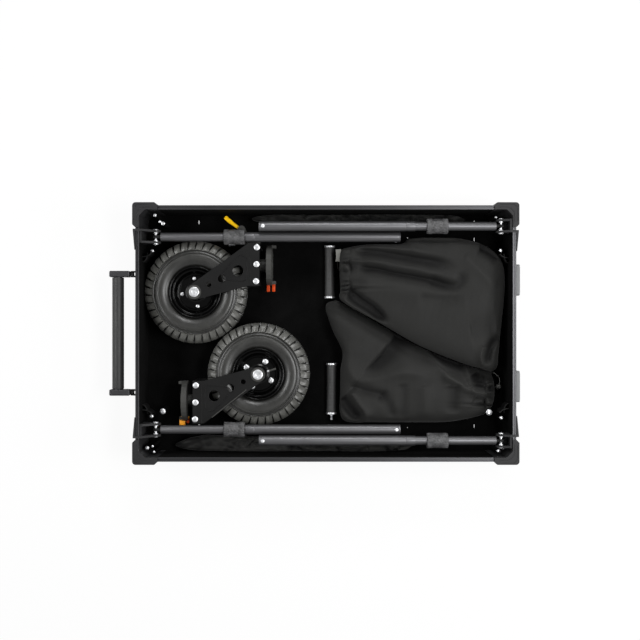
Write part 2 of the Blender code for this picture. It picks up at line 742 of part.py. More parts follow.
def swivel_profile():
    """Kingpin nut, kingpin, neck and mounting disc, measured from the yoke's outer face."""
    nut_inner = -FORK_PLATE - SEAM - KINGPIN_NUT
    disc_top = SWIVEL_GAP + PLATE_THICKNESS
    return [
        (0, disc_top), (PLATE_RADIUS, disc_top), (PLATE_RADIUS, SWIVEL_GAP), (NECK_RADIUS, SWIVEL_GAP),
        (NECK_RADIUS, SEAM), (KINGPIN_RADIUS, SEAM), (KINGPIN_RADIUS, -FORK_PLATE - SEAM),
        (KINGPIN_NUT_RADIUS, -FORK_PLATE - SEAM), (KINGPIN_NUT_RADIUS, nut_inner), (0, nut_inner),
    ]


def build_swivel_plate(tag, place_matrix, side):
    """Mounting disc with its hook lip, and the release tab hinged at the opposite edge.

    Here x runs along the kingpin from the yoke's outer face, and the lip is at side * y.
    """
    disc_top = SWIVEL_GAP + PLATE_THICKNESS
    plate = turn(tag + "_swivel_plate", swivel_profile(), sides=24)
    move_mesh(plate, AXES["X"])
    lip = box("lip", (disc_top - JOIN_OVERLAP, side * (PLATE_RADIUS - LIP_EDGE), -LIP_WIDTH / 2),
              (disc_top + LIP_REACH, side * (PLATE_RADIUS - LIP_DEPTH), LIP_WIDTH / 2))
    hinge_x, hinge_y = TAB_HINGE[0], -side * TAB_HINGE[1]
    half_tab = TAB_THICKNESS / 2
    ears = []
    for sz in (-1, 1):
        ears.append(box("ear", (disc_top - JOIN_OVERLAP, hinge_y - TAB_EAR_HALF, sz * (half_tab + SEAM)),
                        (hinge_x + TAB_EAR_HALF, hinge_y + TAB_EAR_HALF, sz * (half_tab + SEAM + TAB_EAR))))
    pin = cylinder("pin", TAB_PIN_RADIUS, -half_tab - JOIN_OVERLAP, half_tab + JOIN_OVERLAP, "Z",
                   (hinge_x, hinge_y, 0), 12)
    fuse(plate, lip, *ears)
    fuse(plate, pin)
    place(move_mesh(plate, place_matrix), black_steel())

    nose = arc_points((hinge_x, TAB_HINGE[1]), TAB_NOSE, 180, 360, 8)
    edge_y = PLATE_RADIUS + TAB_EDGE_GAP
    hook_x = SWIVEL_GAP - TAB_EDGE_GAP
    outline = [
        *nose, (hinge_x + TAB_NOSE, TAB_REACH), (hook_x, TAB_REACH), (hook_x, edge_y),
        (hinge_x - TAB_NOSE, edge_y),
    ]
    eye = ring_points((hinge_x, TAB_HINGE[1]), TAB_PIN_RADIUS + SEAM, 12)
    tab = extrude(tag + "_release_tab", [(x, -side * y) for x, y in outline], -half_tab, half_tab,
                  holes=[[(x, -side * y) for x, y in eye]])
    place(move_mesh(tab, place_matrix), release_orange())


def build_caster(tag, hub, turned_about, lip_side):
    """A caster on its side: fork, axle, rim, tyre, swivel plate and release tab."""
    to_world = Matrix.Translation(hub) @ Matrix.Rotation(turned_about, 4, "Z")
    inner_face = FORK_HALF_WIDTH - FORK_PLATE

    fork = extrude(tag + "_fork", fork_outline(), inner_face, FORK_HALF_WIDTH, holes=fork_holes())
    lower = extrude("lower", fork_outline(), -FORK_HALF_WIDTH, -inner_face, holes=fork_holes())
    yoke = box("yoke", (FORK_REACH - FORK_PLATE, TRAIL - YOKE_HALF, -FORK_HALF_WIDTH),
               (FORK_REACH, TRAIL + YOKE_HALF, FORK_HALF_WIDTH))
    fuse(fork, lower, yoke)
    carve(fork, cylinder("bore", KINGPIN_RADIUS + RUNNING_FIT, FORK_REACH - CUT_MARGIN,
                         FORK_REACH + CUT_MARGIN, "X", (0, TRAIL, 0), 20))
    place(move_mesh(fork, to_world), black_steel())

    head_in = FORK_HALF_WIDTH + SEAM
    head_out = head_in + AXLE_HEAD
    axle = turn(tag + "_axle", [
        (0, head_out), (AXLE_HEAD_RADIUS - AXLE_HEAD_EDGE, head_out),
        (AXLE_HEAD_RADIUS, head_out - AXLE_HEAD_EDGE),
        (AXLE_HEAD_RADIUS, head_in), (AXLE_RADIUS, head_in), (AXLE_RADIUS, -head_in),
        (AXLE_HEAD_RADIUS, -head_in), (AXLE_HEAD_RADIUS, -head_out), (0, -head_out),
    ], sides=16)
    place(move_mesh(axle, to_world), bright_steel())

    bore = AXLE_RADIUS + RUNNING_FIT
    hub_half = inner_face - HUB_GAP
    half_disc = RIM_DISC / 2
    barrel = RIM_SEAT_RADIUS - RIM_BARREL
    seat_half = RIM_HALF_WIDTH - RIM_SEAT_INSET
    upper_half = [
        (bore, hub_half), (HUB_RADIUS, hub_half), (HUB_RADIUS, half_disc), (barrel, half_disc),
        (barrel, RIM_HALF_WIDTH - RIM_LIP), (RIM_RADIUS - RIM_LIP_ROUND, RIM_HALF_WIDTH),
        (RIM_RADIUS, RIM_HALF_WIDTH - RIM_LIP), (RIM_SEAT_RADIUS, seat_half),
    ]
    rim = turn(tag + "_rim", upper_half + [(r, -z) for r, z in reversed(upper_half)], closed=True, sides=24)
    place(move_mesh(rim, to_world), black_steel())

    upper_half = [
        (RIM_SEAT_RADIUS + BEAD_SEAT_GAP, seat_half - BEAD_GAP),
        (RIM_RADIUS + BEAD_GAP, RIM_HALF_WIDTH - BEAD_DROP),
        (RIM_RADIUS + BEAD_LIP, RIM_HALF_WIDTH + BEAD_GAP),
        (RIM_RADIUS + SIDEWALL_REACH, TYRE_HALF_WIDTH - SIDEWALL_DROP),
    ]
    upper_half += [(TYRE_RADIUS - inward, TYRE_HALF_WIDTH - drop) for inward, drop in TYRE_SHOULDER]
    tyre = turn(tag + "_tyre", upper_half + [(r, -z) for r, z in reversed(upper_half)], closed=True, sides=32)
    place(move_mesh(tyre, to_world), tyre_rubber())

    swivel = to_world @ Matrix.Translation((FORK_REACH, TRAIL, 0))
    build_swivel_plate(tag, swivel, lip_side)


def build_brake():
    """A channel bracket on the rear caster's yoke, and the foot lever pinned between its cheeks."""
    hub_x, hub_y, _ = rear_hub()
    low_z, high_z = BRAKE_BRACKET_Z
    yoke_end = TRAIL + YOKE_HALF + SEAM
    px, py = BRAKE_PIVOT
    nose = arc_points((px, py), BRAKE_NOSE_RADIUS, 20, 160, 6)
    outline = [
        (FORK_REACH, yoke_end), (FORK_REACH, yoke_end + BRAKE_BASE),
        (px + BRAKE_BASE_HALF, yoke_end + BRAKE_BASE), *nose,
        (px - BRAKE_BASE_HALF, yoke_end + BRAKE_BASE), (px - BRAKE_BASE_HALF, yoke_end),
    ]
    points = [(hub_x + x, hub_y + y) for x, y in outline]
    bracket = extrude("brake_bracket", points, low_z, high_z)
    slot = box("slot", (hub_x + px - 2 * BRAKE_BASE_HALF, hub_y + yoke_end + BRAKE_SLOT_FLOOR,
                        low_z + BRAKE_CHEEK),
               (hub_x + px + 2 * BRAKE_BASE_HALF, hub_y + py + 2 * BRAKE_BASE_HALF, high_z - BRAKE_CHEEK))
    carve(bracket, slot)
    pin = cylinder("pin", BRAKE_PIN_RADIUS, low_z + JOIN_OVERLAP, high_z - JOIN_OVERLAP, "Z",
                   (hub_x + px, hub_y + py, 0), 12)
    place(fuse(bracket, pin), black_steel())

    low_lever = low_z + BRAKE_CHEEK + SEAM
    high_lever = high_z - BRAKE_CHEEK - SEAM
    pivot = Vector((hub_x + px, hub_y + py))
    reach = Vector(BRAKE_LEVER_REACH)
    across = Vector((-reach.y, reach.x)).normalized() * (BRAKE_LEVER_THICKNESS / 2)
    arm_points = [pivot + across, pivot + reach + across, pivot + reach - across, pivot - across]
    lever = extrude("brake_lever", [tuple(p) for p in arm_points], low_lever, high_lever)
    fuse(lever, cylinder("hub", BRAKE_HUB_RADIUS, low_lever, high_lever, "Z", (*pivot, 0), 20))
    carve(lever, cylinder("bore", BRAKE_PIN_RADIUS + SEAM, low_z, high_z, "Z", (*pivot, 0), 12))
    place(lever, brake_yellow())


def build_grips():
    """Two screw-on hand grips that lie loose on the carpet. The front one shows its stud."""
    for side, (low_y, high_y), with_stud in (("rear", REAR_GRIP_Y, False), ("front", FRONT_GRIP_Y, True)):
        x = bay_start() + GRIP_SETBACK[side]
        middle = (low_y + high_y) / 2
        half = (high_y - low_y) / 2
        profile = [
            (0, half), (GRIP_RADIUS, half), (GRIP_RADIUS, half - GRIP_RING),
            (GRIP_WAIST + GRIP_STEP, half - GRIP_RING - GRIP_STEP), (GRIP_WAIST, 0),
            (GRIP_WAIST + GRIP_STEP, -half + GRIP_RING + GRIP_STEP), (GRIP_RADIUS, -half + GRIP_RING),
            (GRIP_RADIUS, -half),
        ]
        if with_stud:
            profile += [(STUD_RADIUS, -half), (STUD_RADIUS, -half - STUD_LENGTH), (0, -half - STUD_LENGTH)]
        else:
            profile += [(0, -half)]
        grip = turn(side + "_hand_grip", profile, "Y", (x, middle, FLOOR_TOP + SEAM + GRIP_RADIUS), sides=20)
        place(grip, grip_rubber())


def in_bay(shares):
    """Points of the bag bay from shares of its length and of the tray's half width."""
    start = bay_start() + BAG_SETBACK
    return [(start + u * (INNER_X - start), v * INNER_Y) for u, v in shares]


def in_tray(shares):
    """Points from shares of the tray's inner half length and half width."""
    return [(u * INNER_X, v * INNER_Y) for u, v in shares]


def stuffed(name, outline, levels, surface):
    """A soft closed form: an outline lifted through (height, share of its size) levels and smoothed."""
    centre = Vector((sum(x for x, _ in outline) / len(outline), sum(y for _, y in outline) / len(outline)))
    shape = bmesh.new()
    first_z, first_share = levels[0]
    loop = [shape.verts.new((*(centre + (Vector(p) - centre) * first_share), first_z)) for p in outline]
    face = shape.faces.new(loop)
    for z, share in levels[1:]:
        face = bmesh.ops.extrude_discrete_faces(shape, faces=[face])["faces"][0]
        for corner, point in zip(face.verts, outline):
            corner.co = (*(centre + (Vector(point) - centre) * share), z)
    bmesh.ops.holes_fill(shape, edges=[edge for edge in shape.edges if edge.is_boundary])
    bmesh.ops.recalc_face_normals(shape, faces=shape.faces)
    mesh = bpy.data.meshes.new(name)
    shape.to_mesh(mesh)
    shape.free()
    solid = new_object(name, mesh)
    smooth = solid.modifiers.new("smooth", "SUBSURF")
    smooth.levels = 1
    smooth.render_levels = 1
    return place(bake(solid), surface)


# Soft outlines and cord routes as shares: bags and cords of the bay, pouches of the tray's inside
REAR_BAG_OUTLINE = [
    (0.0167, 0.6588), (0.0786, 0.7126), (0.1930, 0.7345), (0.3694, 0.7378), (0.4218, 0.7798),
    (0.5553, 0.7899), (0.7293, 0.7798), (0.8723, 0.7193), (0.9604, 0.6050), (0.9819, 0.4370),
    (0.9747, 0.2353), (0.9581, 0.0336), (0.9461, -0.1513), (0.9318, -0.3059), (0.8246, -0.2756),
    (0.7173, -0.2286), (0.4814, -0.0908), (0.2479, 0.0975), (0.0310, 0.2723), (0.0167, 0.3697),
]
FRONT_BAG_OUTLINE = [
    (-0.0691, 0.2218), (-0.0214, 0.2689), (0.0262, 0.2538), (0.2431, 0.0807), (0.4766, -0.1076),
    (0.7126, -0.2454), (0.8174, -0.2924), (0.9175, -0.3328), (0.9295, -0.4706), (0.9128, -0.6118),
    (0.8460, -0.6857), (0.6578, -0.7378), (0.4314, -0.7429), (0.2169, -0.7429), (0.0643, -0.7395),
    (0.0167, -0.6723), (0.0167, -0.4874), (0.0191, -0.3025), (0.0286, -0.1513), (-0.0310, 0.0336),
]
REAR_POUCH_OUTLINE = [
    (-0.4124, 0.9361), (-0.2229, 0.9042), (0.0223, 0.9076), (0.2675, 0.8908), (0.5127, 0.8975),
    (0.6687, 0.8739), (0.7579, 0.9008), (0.7802, 0.9580), (0.7356, 0.9916), (0.4458, 0.9950),
    (0.1115, 0.9966), (-0.1783, 0.9950), (-0.4012, 0.9916),
]
FRONT_POUCH_OUTLINE = [
    (-0.8359, -0.9076), (-0.6687, -0.8605), (-0.4458, -0.8706), (-0.2006, -0.8773), (0.0446, -0.8739),
    (0.2675, -0.8874), (0.4458, -0.8941), (0.4949, -0.9412), (0.4458, -0.9933), (0.1783, -0.9966),
    (-0.1560, -0.9966), (-0.4904, -0.9950), (-0.7579, -0.9933), (-0.8426, -0.9681),
]


def build_bags():
    """Two drawstring bags, each stuffed with one more caster, side by side on the carpet."""
    floor = FLOOR_TOP + SEAM - BAG_SETTLE
    bags = (("rear_drawstring_bag", REAR_BAG_OUTLINE, REAR_BAG_HEIGHT),
            ("front_drawstring_bag", FRONT_BAG_OUTLINE, FRONT_BAG_HEIGHT))
    for name, shares, height in bags:
        levels = [(floor + rise * height, share) for rise, share in BAG_LEVELS]
        stuffed(name, in_bay(shares), levels, bag_nylon())


def build_pouches():
    """Two empty bags, folded flat and tucked along the side rails."""
    floor = FLOOR_TOP + 2 * SEAM
    levels = [(floor + rise * POUCH_HEIGHT, share) for rise, share in POUCH_LEVELS]
    stuffed("rear_folded_pouch", in_tray(REAR_POUCH_OUTLINE), levels, bag_nylon())
    stuffed("front_folded_pouch", in_tray(FRONT_POUCH_OUTLINE), levels, bag_nylon())


def smooth_route(points, per_span=4):
    """Points of a smooth curve through the route's own points (Catmull-Rom)."""
    ends = [2 * points[0] - points[1], *points, 2 * points[-1] - points[-2]]
    route = []
    for before, start, end, after in zip(ends, ends[1:], ends[2:], ends[3:]):
        for i in range(per_span):
            t = i / per_span
            route.append(0.5 * (2 * start + (end - before) * t
                                + (2 * before - 5 * start + 4 * end - after) * t ** 2
                                + (3 * start - before - 3 * end + after) * t ** 3))
    return [*route, points[-1]]


def cord(name, points, radius, surface):
    """A cord: a round tube along a smooth curve through its points."""
    curve = bpy.data.curves.new(name, "CURVE")
    curve.dimensions = "3D"
    curve.bevel_depth = radius
    curve.bevel_resolution = 2
    curve.use_fill_caps = True
    route = smooth_route([Vector(p) for p in points])
    spline = curve.splines.new("POLY")
    spline.points.add(len(route) - 1)
    for target, point in zip(spline.points, route):
        target.co = (*point, 1.0)
    curve.materials.append(surface)
    return new_object(name, curve)


REAR_CORD_ROUTE = [
    (0.0060, 0.5378), (0.0041, 0.5714), (0.0036, 0.6118), (0.0043, 0.6521), (0.0031, 0.6924),
]
FRONT_CORD_ROUTE = [
    (0.9402, -0.3361), (0.9557, -0.3496), (0.9724, -0.3765), (0.9807, -0.4101), (0.9759, -0.4403),
]


def build_cords():
    """The bags' drawstrings on the carpet. The front one ends in a ball toggle."""
    lay_z = FLOOR_TOP + SEAM + CORD_RADIUS
    cord("rear_bag_cord", [(x, y, lay_z) for x, y in in_bay(REAR_CORD_ROUTE)], CORD_RADIUS, cord_nylon())
    toggle_z = FLOOR_TOP + SEAM + TOGGLE_RADIUS
    front_route = [(x, y, toggle_z) for x, y in in_bay(FRONT_CORD_ROUTE)]
    cord("front_bag_cord", front_route, CORD_RADIUS, cord_nylon())
    before, end = Vector(front_route[-2]), Vector(front_route[-1])
    heading = (end - before).normalized()
    face = TOGGLE_RADIUS * 0.92
    mesh = bpy.data.meshes.new("drawstring_toggle")
    shape = bmesh.new()
    bmesh.ops.create_uvsphere(shape, u_segments=12, v_segments=8, radius=TOGGLE_RADIUS)
    cut = bmesh.ops.bisect_plane(shape, geom=[*shape.verts, *shape.edges, *shape.faces],
                                 plane_co=-heading * face, plane_no=-heading, clear_outer=True)
    edges = [item for item in cut["geom_cut"] if isinstance(item, bmesh.types.BMEdge)]
    bmesh.ops.contextual_create(shape, geom=edges)
    bmesh.ops.recalc_face_normals(shape, faces=shape.faces)
    shape.to_mesh(mesh)
    shape.free()
    toggle = new_object("drawstring_toggle", mesh)
    toggle.location = end + heading * (face + SEAM)
    place(toggle, cord_nylon())


for old in list(bpy.data.objects):
    bpy.data.objects.remove(old, do_unlink=True)

CART = collection("workstation_cart")

build_rails()
build_floor()
build_corner_castings()
build_pivot_brackets()
build_posts()
build_end_feet()
build_handle()
build_caster("rear_caster", rear_hub(), 0.0, 1)
build_caster("front_caster", front_hub(), math.pi, -1)
build_brake()
build_grips()
build_bags()
build_pouches()
build_cords()
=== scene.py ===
"""Workstation cart, folded flat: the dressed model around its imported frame.

Metres, +Z up. Every new piece is a surface worked out with numpy, placed in its mesh.
"""

import math

import bmesh
import bpy
import numpy as np
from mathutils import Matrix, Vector


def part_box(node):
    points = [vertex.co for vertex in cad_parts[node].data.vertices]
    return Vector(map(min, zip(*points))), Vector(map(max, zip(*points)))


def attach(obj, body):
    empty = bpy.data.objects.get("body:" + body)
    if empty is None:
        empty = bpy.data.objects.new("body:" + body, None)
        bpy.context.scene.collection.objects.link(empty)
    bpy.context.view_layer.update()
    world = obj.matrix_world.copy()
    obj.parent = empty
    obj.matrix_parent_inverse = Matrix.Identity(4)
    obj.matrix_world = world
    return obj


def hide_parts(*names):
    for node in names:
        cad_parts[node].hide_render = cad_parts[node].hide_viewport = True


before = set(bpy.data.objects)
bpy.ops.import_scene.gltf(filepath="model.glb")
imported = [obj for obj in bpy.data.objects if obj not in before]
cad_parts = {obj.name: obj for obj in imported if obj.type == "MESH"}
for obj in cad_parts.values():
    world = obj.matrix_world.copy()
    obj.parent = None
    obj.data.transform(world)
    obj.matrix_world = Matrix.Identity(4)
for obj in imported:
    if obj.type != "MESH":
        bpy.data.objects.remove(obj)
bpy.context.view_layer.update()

bl_info = {
    "name": "Workstation Cart",
    "version": (1, 0, 0),
    "blender": (4, 5, 0),
    "location": "View3D > Sidebar > Cart",
    "description": "Dresses the packed frame of a folded workstation cart",
    "category": "Object",
}

SIDES = 72
ROUND_STEPS = 4
WELD = 1e-6
SMOOTH_ANGLE = math.radians(38)
TAU = math.tau
CORNERS = ("front_left", "front_right", "rear_left", "rear_right")


def metres(table):
    """A table of millimetres as an array in metres."""
    return np.array(table, float) / 1000

def linear(hex_colour):
    """Linear red, green and blue of an sRGB colour written as six hex digits."""
    channels = [int(hex_colour[i:i + 2], 16) / 255 for i in (0, 2, 4)]
    return [c / 12.92 if c <= 0.04045 else ((c + 0.055) / 1.055) ** 2.4 for c in channels]


def tint(name, description, hex_colour):
    """A colour property, its default written as six hex digits."""
    return bpy.props.FloatVectorProperty(name=name, description=description, subtype="COLOR", size=3,
                                         min=0.0, max=1.0, default=linear(hex_colour))


def length(name, description, default):
    """A length property in metres."""
    return bpy.props.FloatProperty(name=name, description=description, default=default, min=0.0,
                                   precision=4, subtype="DISTANCE", unit="LENGTH")


class CartColours(bpy.types.PropertyGroup):
    """Colours of the cart's finishes"""

    rail: tint("Rails", "Black anodised rails", "414143")
    post: tint("Posts", "Black anodised telescopic posts", "606062")
    casting: tint("Castings", "Powder coated cast corners and brackets", "2B2B2C")
    collar: tint("Collars", "Moulded collars on the posts", "444445")
    panel: tint("Floor panel", "Black laminate under the carpet", "141416")
    carpet: tint("Carpet", "Needle felt on the floor and walls", "060606")
    steel: tint("Plated steel", "Zinc plated screws, pins and axles", "D2D3D5")
    plate: tint("Black plate", "Powder coated fork plates", "101010")
    mount: tint("Mounting plates", "Grey phosphated mounting plates", "3E3E3C")
    rim: tint("Rims", "Gloss black rims", "050505")
    tyre: tint("Tyres", "Black tyre rubber", "2B2B29")
    spacer: tint("Spacers", "Black plastic spacers under the corner screws", "070707")
    tag: tint("Tag", "Grey webbing tag at the rear bag's mouth", "969691")
    grip: tint("Grips", "Ribbed rubber of the hand grips", "323232")
    handle: tint("Handle", "Foam grip of the carrying handle", "232323")
    foot: tint("Feet", "Grey moulded stand-up feet", "747576")
    lever: tint("Brake lever", "Yellow painted brake lever", "FFC60A")
    tab: tint("Release tabs", "Orange moulded release tabs", "B43A04")
    # a lighter copy of the tab orange: painted highlight on the parts of the front tab that catch light
    amber: tint("Highlit tab", "Lighter orange of the front release tab", "FFA61C")
    cloth: tint("Bags", "Black coated nylon of the bags", "1F1F1E")
    cord: tint("Cords", "Grey braided drawstrings", "868683")
    floor: tint("Stage floor", "Plain floor of the stage", "F2F2F2")


class CartSizes(bpy.types.PropertyGroup):
    """Sizes of the details that the frame leaves open"""

    lugs: bpy.props.IntProperty(name="Lugs", description="Shoulder lugs round a tyre", default=38, min=12)
    lug_depth: length("Lug depth", "Depth of the cuts between the lugs", 0.0074)
    groove: length("Cut width", "Width of a cut between two lugs at the shoulder", 0.0040)
    bolt_circle: length("Bolt circle", "Radius of the circle of rim bolts", 0.0345)
    cord_radius: length("Cord radius", "Radius of the drawstrings", 0.0015)


def colours():
    """The scene's colours of the cart."""
    return bpy.context.scene.cart_colours


def sizes():
    """The scene's sizes of the cart's details."""
    return bpy.context.scene.cart_sizes


# Finishes


def add(tree, kind, inputs=None, **settings):
    """Add one shader node with its settings; an input is a value, or a socket that is linked to it."""
    made = tree.nodes.new(kind)
    for name, value in settings.items():
        setattr(made, name, value)
    for name, value in (inputs or {}).items():
        if isinstance(value, bpy.types.NodeSocket):
            tree.links.new(value, made.inputs[name])
        else:
            made.inputs[name].default_value = value
    return made


def calculate(tree, operation, a, b):
    """The result of a Math node; a and b are numbers or sockets."""
    return add(tree, "ShaderNodeMath", {0: a, 1: b}, operation=operation).outputs["Value"]


def per_metre(millimetres):
    """Noise scale at which one grain is that many millimetres wide."""
    return 1000.0 / millimetres


def nodes_of(made):
    """A material's node tree and its Principled shader."""
    return made.node_tree, made.node_tree.nodes["Principled BSDF"]


def finish(name, colour, roughness, grain, spread, depth, rough=None, stretch=(1.0, 1.0, 1.0), patch=60.0,
           **sockets):
    """A new material whose colour, roughness and height wander over a surface, in Object coordinates.

    grain is the width of the fine pattern and patch of the broad one, in mm, spread is how far the
    colour goes lighter and darker, depth is the height of the fine pattern in mm, rough the lowest and
    highest roughness, and stretch how many times longer the grain is along each axis. Any other socket
    of the Principled shader has one value all over.
    """
    made = bpy.data.materials.new(name)
    made.use_nodes = True
    tree, shader = nodes_of(made)
    shader.inputs["Base Color"].default_value = (*colour, 1.0)
    shader.inputs["Roughness"].default_value = roughness
    for socket, value in sockets.items():
        shader.inputs[socket.replace("_", " ")].default_value = value
    place = add(tree, "ShaderNodeTexCoord").outputs["Object"]
    squeezed = add(tree, "ShaderNodeMapping", {"Vector": place, "Scale": [1 / s for s in stretch]})
    fine = add(tree, "ShaderNodeTexNoise", {"Vector": squeezed.outputs["Vector"], "Scale": per_metre(grain),
                                            "Detail": 4.0, "Roughness": 0.6}).outputs["Fac"]
    broad = add(tree, "ShaderNodeTexNoise", {"Vector": place, "Scale": per_metre(patch), "Detail": 3.0})
    mean = calculate(tree, "MULTIPLY", calculate(tree, "ADD", fine, broad.outputs["Fac"]), 0.5)
    # the mean of two noises keeps to the middle third of its range
    ramp = add(tree, "ShaderNodeValToRGB", {"Fac": mean})
    low, high = ramp.color_ramp.elements
    low.position, high.position = 0.36, 0.64
    low.color = (*[c * (1 - spread) for c in colour], 1.0)
    high.color = (*[min(c * (1 + spread), 1.0) for c in colour], 1.0)
    tree.links.new(ramp.outputs["Color"], shader.inputs["Base Color"])
    if rough:
        spanned = add(tree, "ShaderNodeMapRange", {"Value": mean, "From Min": 0.35, "From Max": 0.65,
                                                   "To Min": rough[0], "To Max": rough[1]})
        tree.links.new(spanned.outputs["Result"], shader.inputs["Roughness"])
    bump = add(tree, "ShaderNodeBump", {"Height": fine, "Distance": depth / 1000, "Strength": 1.0})
    tree.links.new(bump.outputs["Normal"], shader.inputs["Normal"])
    return made


def tone_by_painted_light(made):
    """Scale a finish's colour by the mesh's own attribute "painted_light": below 1 it is painted shade, above
    1 painted highlight.
    """
    tree, shader = nodes_of(made)
    painted_light = add(tree, "ShaderNodeAttribute", attribute_name="painted_light")
    colour = shader.inputs["Base Color"].links[0].from_socket
    toned = add(tree, "ShaderNodeVectorMath", {0: colour, "Scale": painted_light.outputs["Fac"]}, operation="SCALE")
    tree.links.new(toned.outputs["Vector"], shader.inputs["Base Color"])
    return made


def black_anodised(name, colour, along, roughness=0.38):
    """Drawn aluminium, anodised black: satin, with fine die lines along its length."""
    stretch = [40.0 if axis == along else 1.0 for axis in "XYZ"]
    return finish("black_anodised_" + name, colour, roughness, grain=1.2, spread=0.05, depth=0.001,
                  rough=(roughness * 0.95, roughness * 1.05), stretch=stretch, Metallic=0.75)


def powder_coat(name, colour):
    """Powder coat over metal: a fine orange-peel skin, nearly matt."""
    return finish(name, colour, 0.5, grain=1.6, spread=0.14, depth=0.05, rough=(0.42, 0.55), IOR=1.5,
                  Specular_IOR_Level=0.16)


def laminate():
    """Black laminate: flat, faintly pebbled."""
    return finish("black_floor_laminate", colours().panel, 0.55, grain=0.8, spread=0.15, depth=0.03)


def needle_felt():
    """Needle felt carpet: matt, its fibres drawn 1.5 mm apart so that they show."""
    return finish("black_needle_felt", colours().carpet, 0.95, grain=1.5, spread=0.55, depth=0.6,
                  patch=35.0, Specular_IOR_Level=0.08)


def plated_steel():
    """Zinc plated steel: bright, with a slight cloudiness from the bath."""
    return finish("zinc_plated_steel", colours().steel, 0.42, grain=2.5, spread=0.08, depth=0.004,
                  rough=(0.36, 0.48), patch=9.0, Metallic=1.0)


def gloss_paint(name, colour, roughness):
    """Stoving paint on steel: smooth, with the faint unevenness of a sprayed coat."""
    return finish(name, colour, roughness, grain=6.0, spread=0.08, depth=0.01,
                  rough=(roughness * 0.85, roughness * 1.2), IOR=1.5, Specular_IOR_Level=0.2)


def tyre_rubber():
    """Vulcanised rubber: black with a soft sheen; its lug faces are painted paler as highlight and its cuts
    darker as shade.
    """
    return tone_by_painted_light(finish("tyre_rubber", colours().tyre, 0.36, grain=2.2, spread=0.18, depth=0.05,
                          rough=(0.30, 0.41), patch=28.0, IOR=1.52))


def moulded(name, colour, roughness, grain=1.0, gloss=0.5):
    """Injection moulded plastic or rubber: an even skin with a fine spark-eroded texture."""
    return finish(name, colour, roughness, grain=grain, spread=0.10, depth=0.04,
                  rough=(roughness * 0.85, min(roughness * 1.15, 1.0)), IOR=1.49, Specular_IOR_Level=gloss)


def knurled_nylon():
    """Glass filled nylon with a rolled grip pattern: pale and dark flecks 3.5 mm across, painted glints of
    the knurling.
    """
    return finish("knurled_nylon_collar", colours().collar, 0.5, grain=3.5, spread=0.75, depth=0.35,
                  rough=(0.42, 0.58), patch=12.0, IOR=1.49)


def coated_nylon():
    """Coated nylon: a plain weave, drawn 1.4 mm apart so that it shows, with a soft grazing sheen.

    Painted highlight makes the crests of the cloth paler and painted shade leaves its folds black: the
    attribute "painted_light".
    """
    made = finish("black_coated_nylon", colours().cloth, 0.72, grain=2.0, spread=0.14, depth=0.05,
                  rough=(0.62, 0.80), patch=45.0, Sheen_Weight=0.05, Sheen_Roughness=0.45,
                  Specular_IOR_Level=0.18)
    tree, shader = nodes_of(made)
    place = add(tree, "ShaderNodeTexCoord").outputs["Object"]
    warp, weft = (add(tree, "ShaderNodeTexWave", {"Vector": place, "Scale": per_metre(1.4) / 20},
                      wave_type="BANDS", bands_direction=axis).outputs["Fac"] for axis in "XY")
    woven = add(tree, "ShaderNodeBump", {"Height": calculate(tree, "MULTIPLY", warp, weft),
                                         "Distance": 0.00008,
                                         "Normal": shader.inputs["Normal"].links[0].from_socket})
    tree.links.new(woven.outputs["Normal"], shader.inputs["Normal"])
    return tone_by_painted_light(made)


FINISHES = {
    "rail_x": lambda: black_anodised("side_rail", colours().rail, "X"),
    "rail_y": lambda: black_anodised("end_rail", colours().rail, "Y"),
    "post": lambda: black_anodised("post", colours().post, "X", 0.42),
    "casting": lambda: powder_coat("powder_coated_casting", colours().casting),
    "plate": lambda: powder_coat("powder_coated_plate", colours().plate),
    "mount": lambda: powder_coat("phosphated_mounting_plate", colours().mount),
    "collar": knurled_nylon,
    "panel": laminate,
    "carpet": needle_felt,
    "steel": plated_steel,
    "rim": lambda: gloss_paint("gloss_black_rim_paint", colours().rim, 0.18),
    "tyre": tyre_rubber,
    "grip": lambda: moulded("ribbed_grip_rubber", colours().grip, 0.55, 1.4),
    "handle": lambda: moulded("handle_foam_rubber", colours().handle, 0.5, 1.8),
    "foot": lambda: moulded("grey_moulded_foot", colours().foot, 0.55),
    "lever": lambda: gloss_paint("yellow_lever_paint", colours().lever, 0.4),
    "tab": lambda: moulded("orange_moulded_tab", colours().tab, 0.45, gloss=0.2),
    "amber": lambda: moulded("amber_moulded_tab", colours().amber, 0.45),
    "spacer": lambda: moulded("black_nylon_spacer", colours().spacer, 0.8, gloss=0.08),
    "tag": lambda: moulded("grey_webbing_tag", colours().tag, 0.8, 1.5),
    "cloth": coated_nylon,
    "cord": lambda: moulded("grey_braided_cord", colours().cord, 0.7, 0.8),
}


def material(name):
    """The finish of that name, made the first time it is asked for."""
    key = "finish_" + name
    found = next((m for m in bpy.data.materials if m.get("finish") == key), None)
    if found is None:
        found = FINISHES[name]()
        found["finish"] = key
    return found


# Surfaces. A patch is its points, its faces and the finish they take.


def patch(points, wrap_rows=False, wrap_columns=False, coat="steel"):
    """A grid of points: each four neighbours make a face, and a wrapped side joins its last to its first."""
    rows, columns = points.shape[:2]
    r = np.arange(rows if wrap_rows else rows - 1)[:, None]
    c = np.arange(columns if wrap_columns else columns - 1)[None, :]
    next_r, next_c = (r + 1) % rows, (c + 1) % columns
    faces = np.stack([r * columns + c, r * columns + next_c, next_r * columns + next_c, next_r * columns + c],
                     axis=-1)
    return points.reshape(-1, 3), faces.reshape(-1, 4).tolist(), coat


def put(name, data):
    """A new object of that data, linked to the scene."""
    made = bpy.data.objects.new(name, data)
    bpy.context.scene.collection.objects.link(made)
    return made


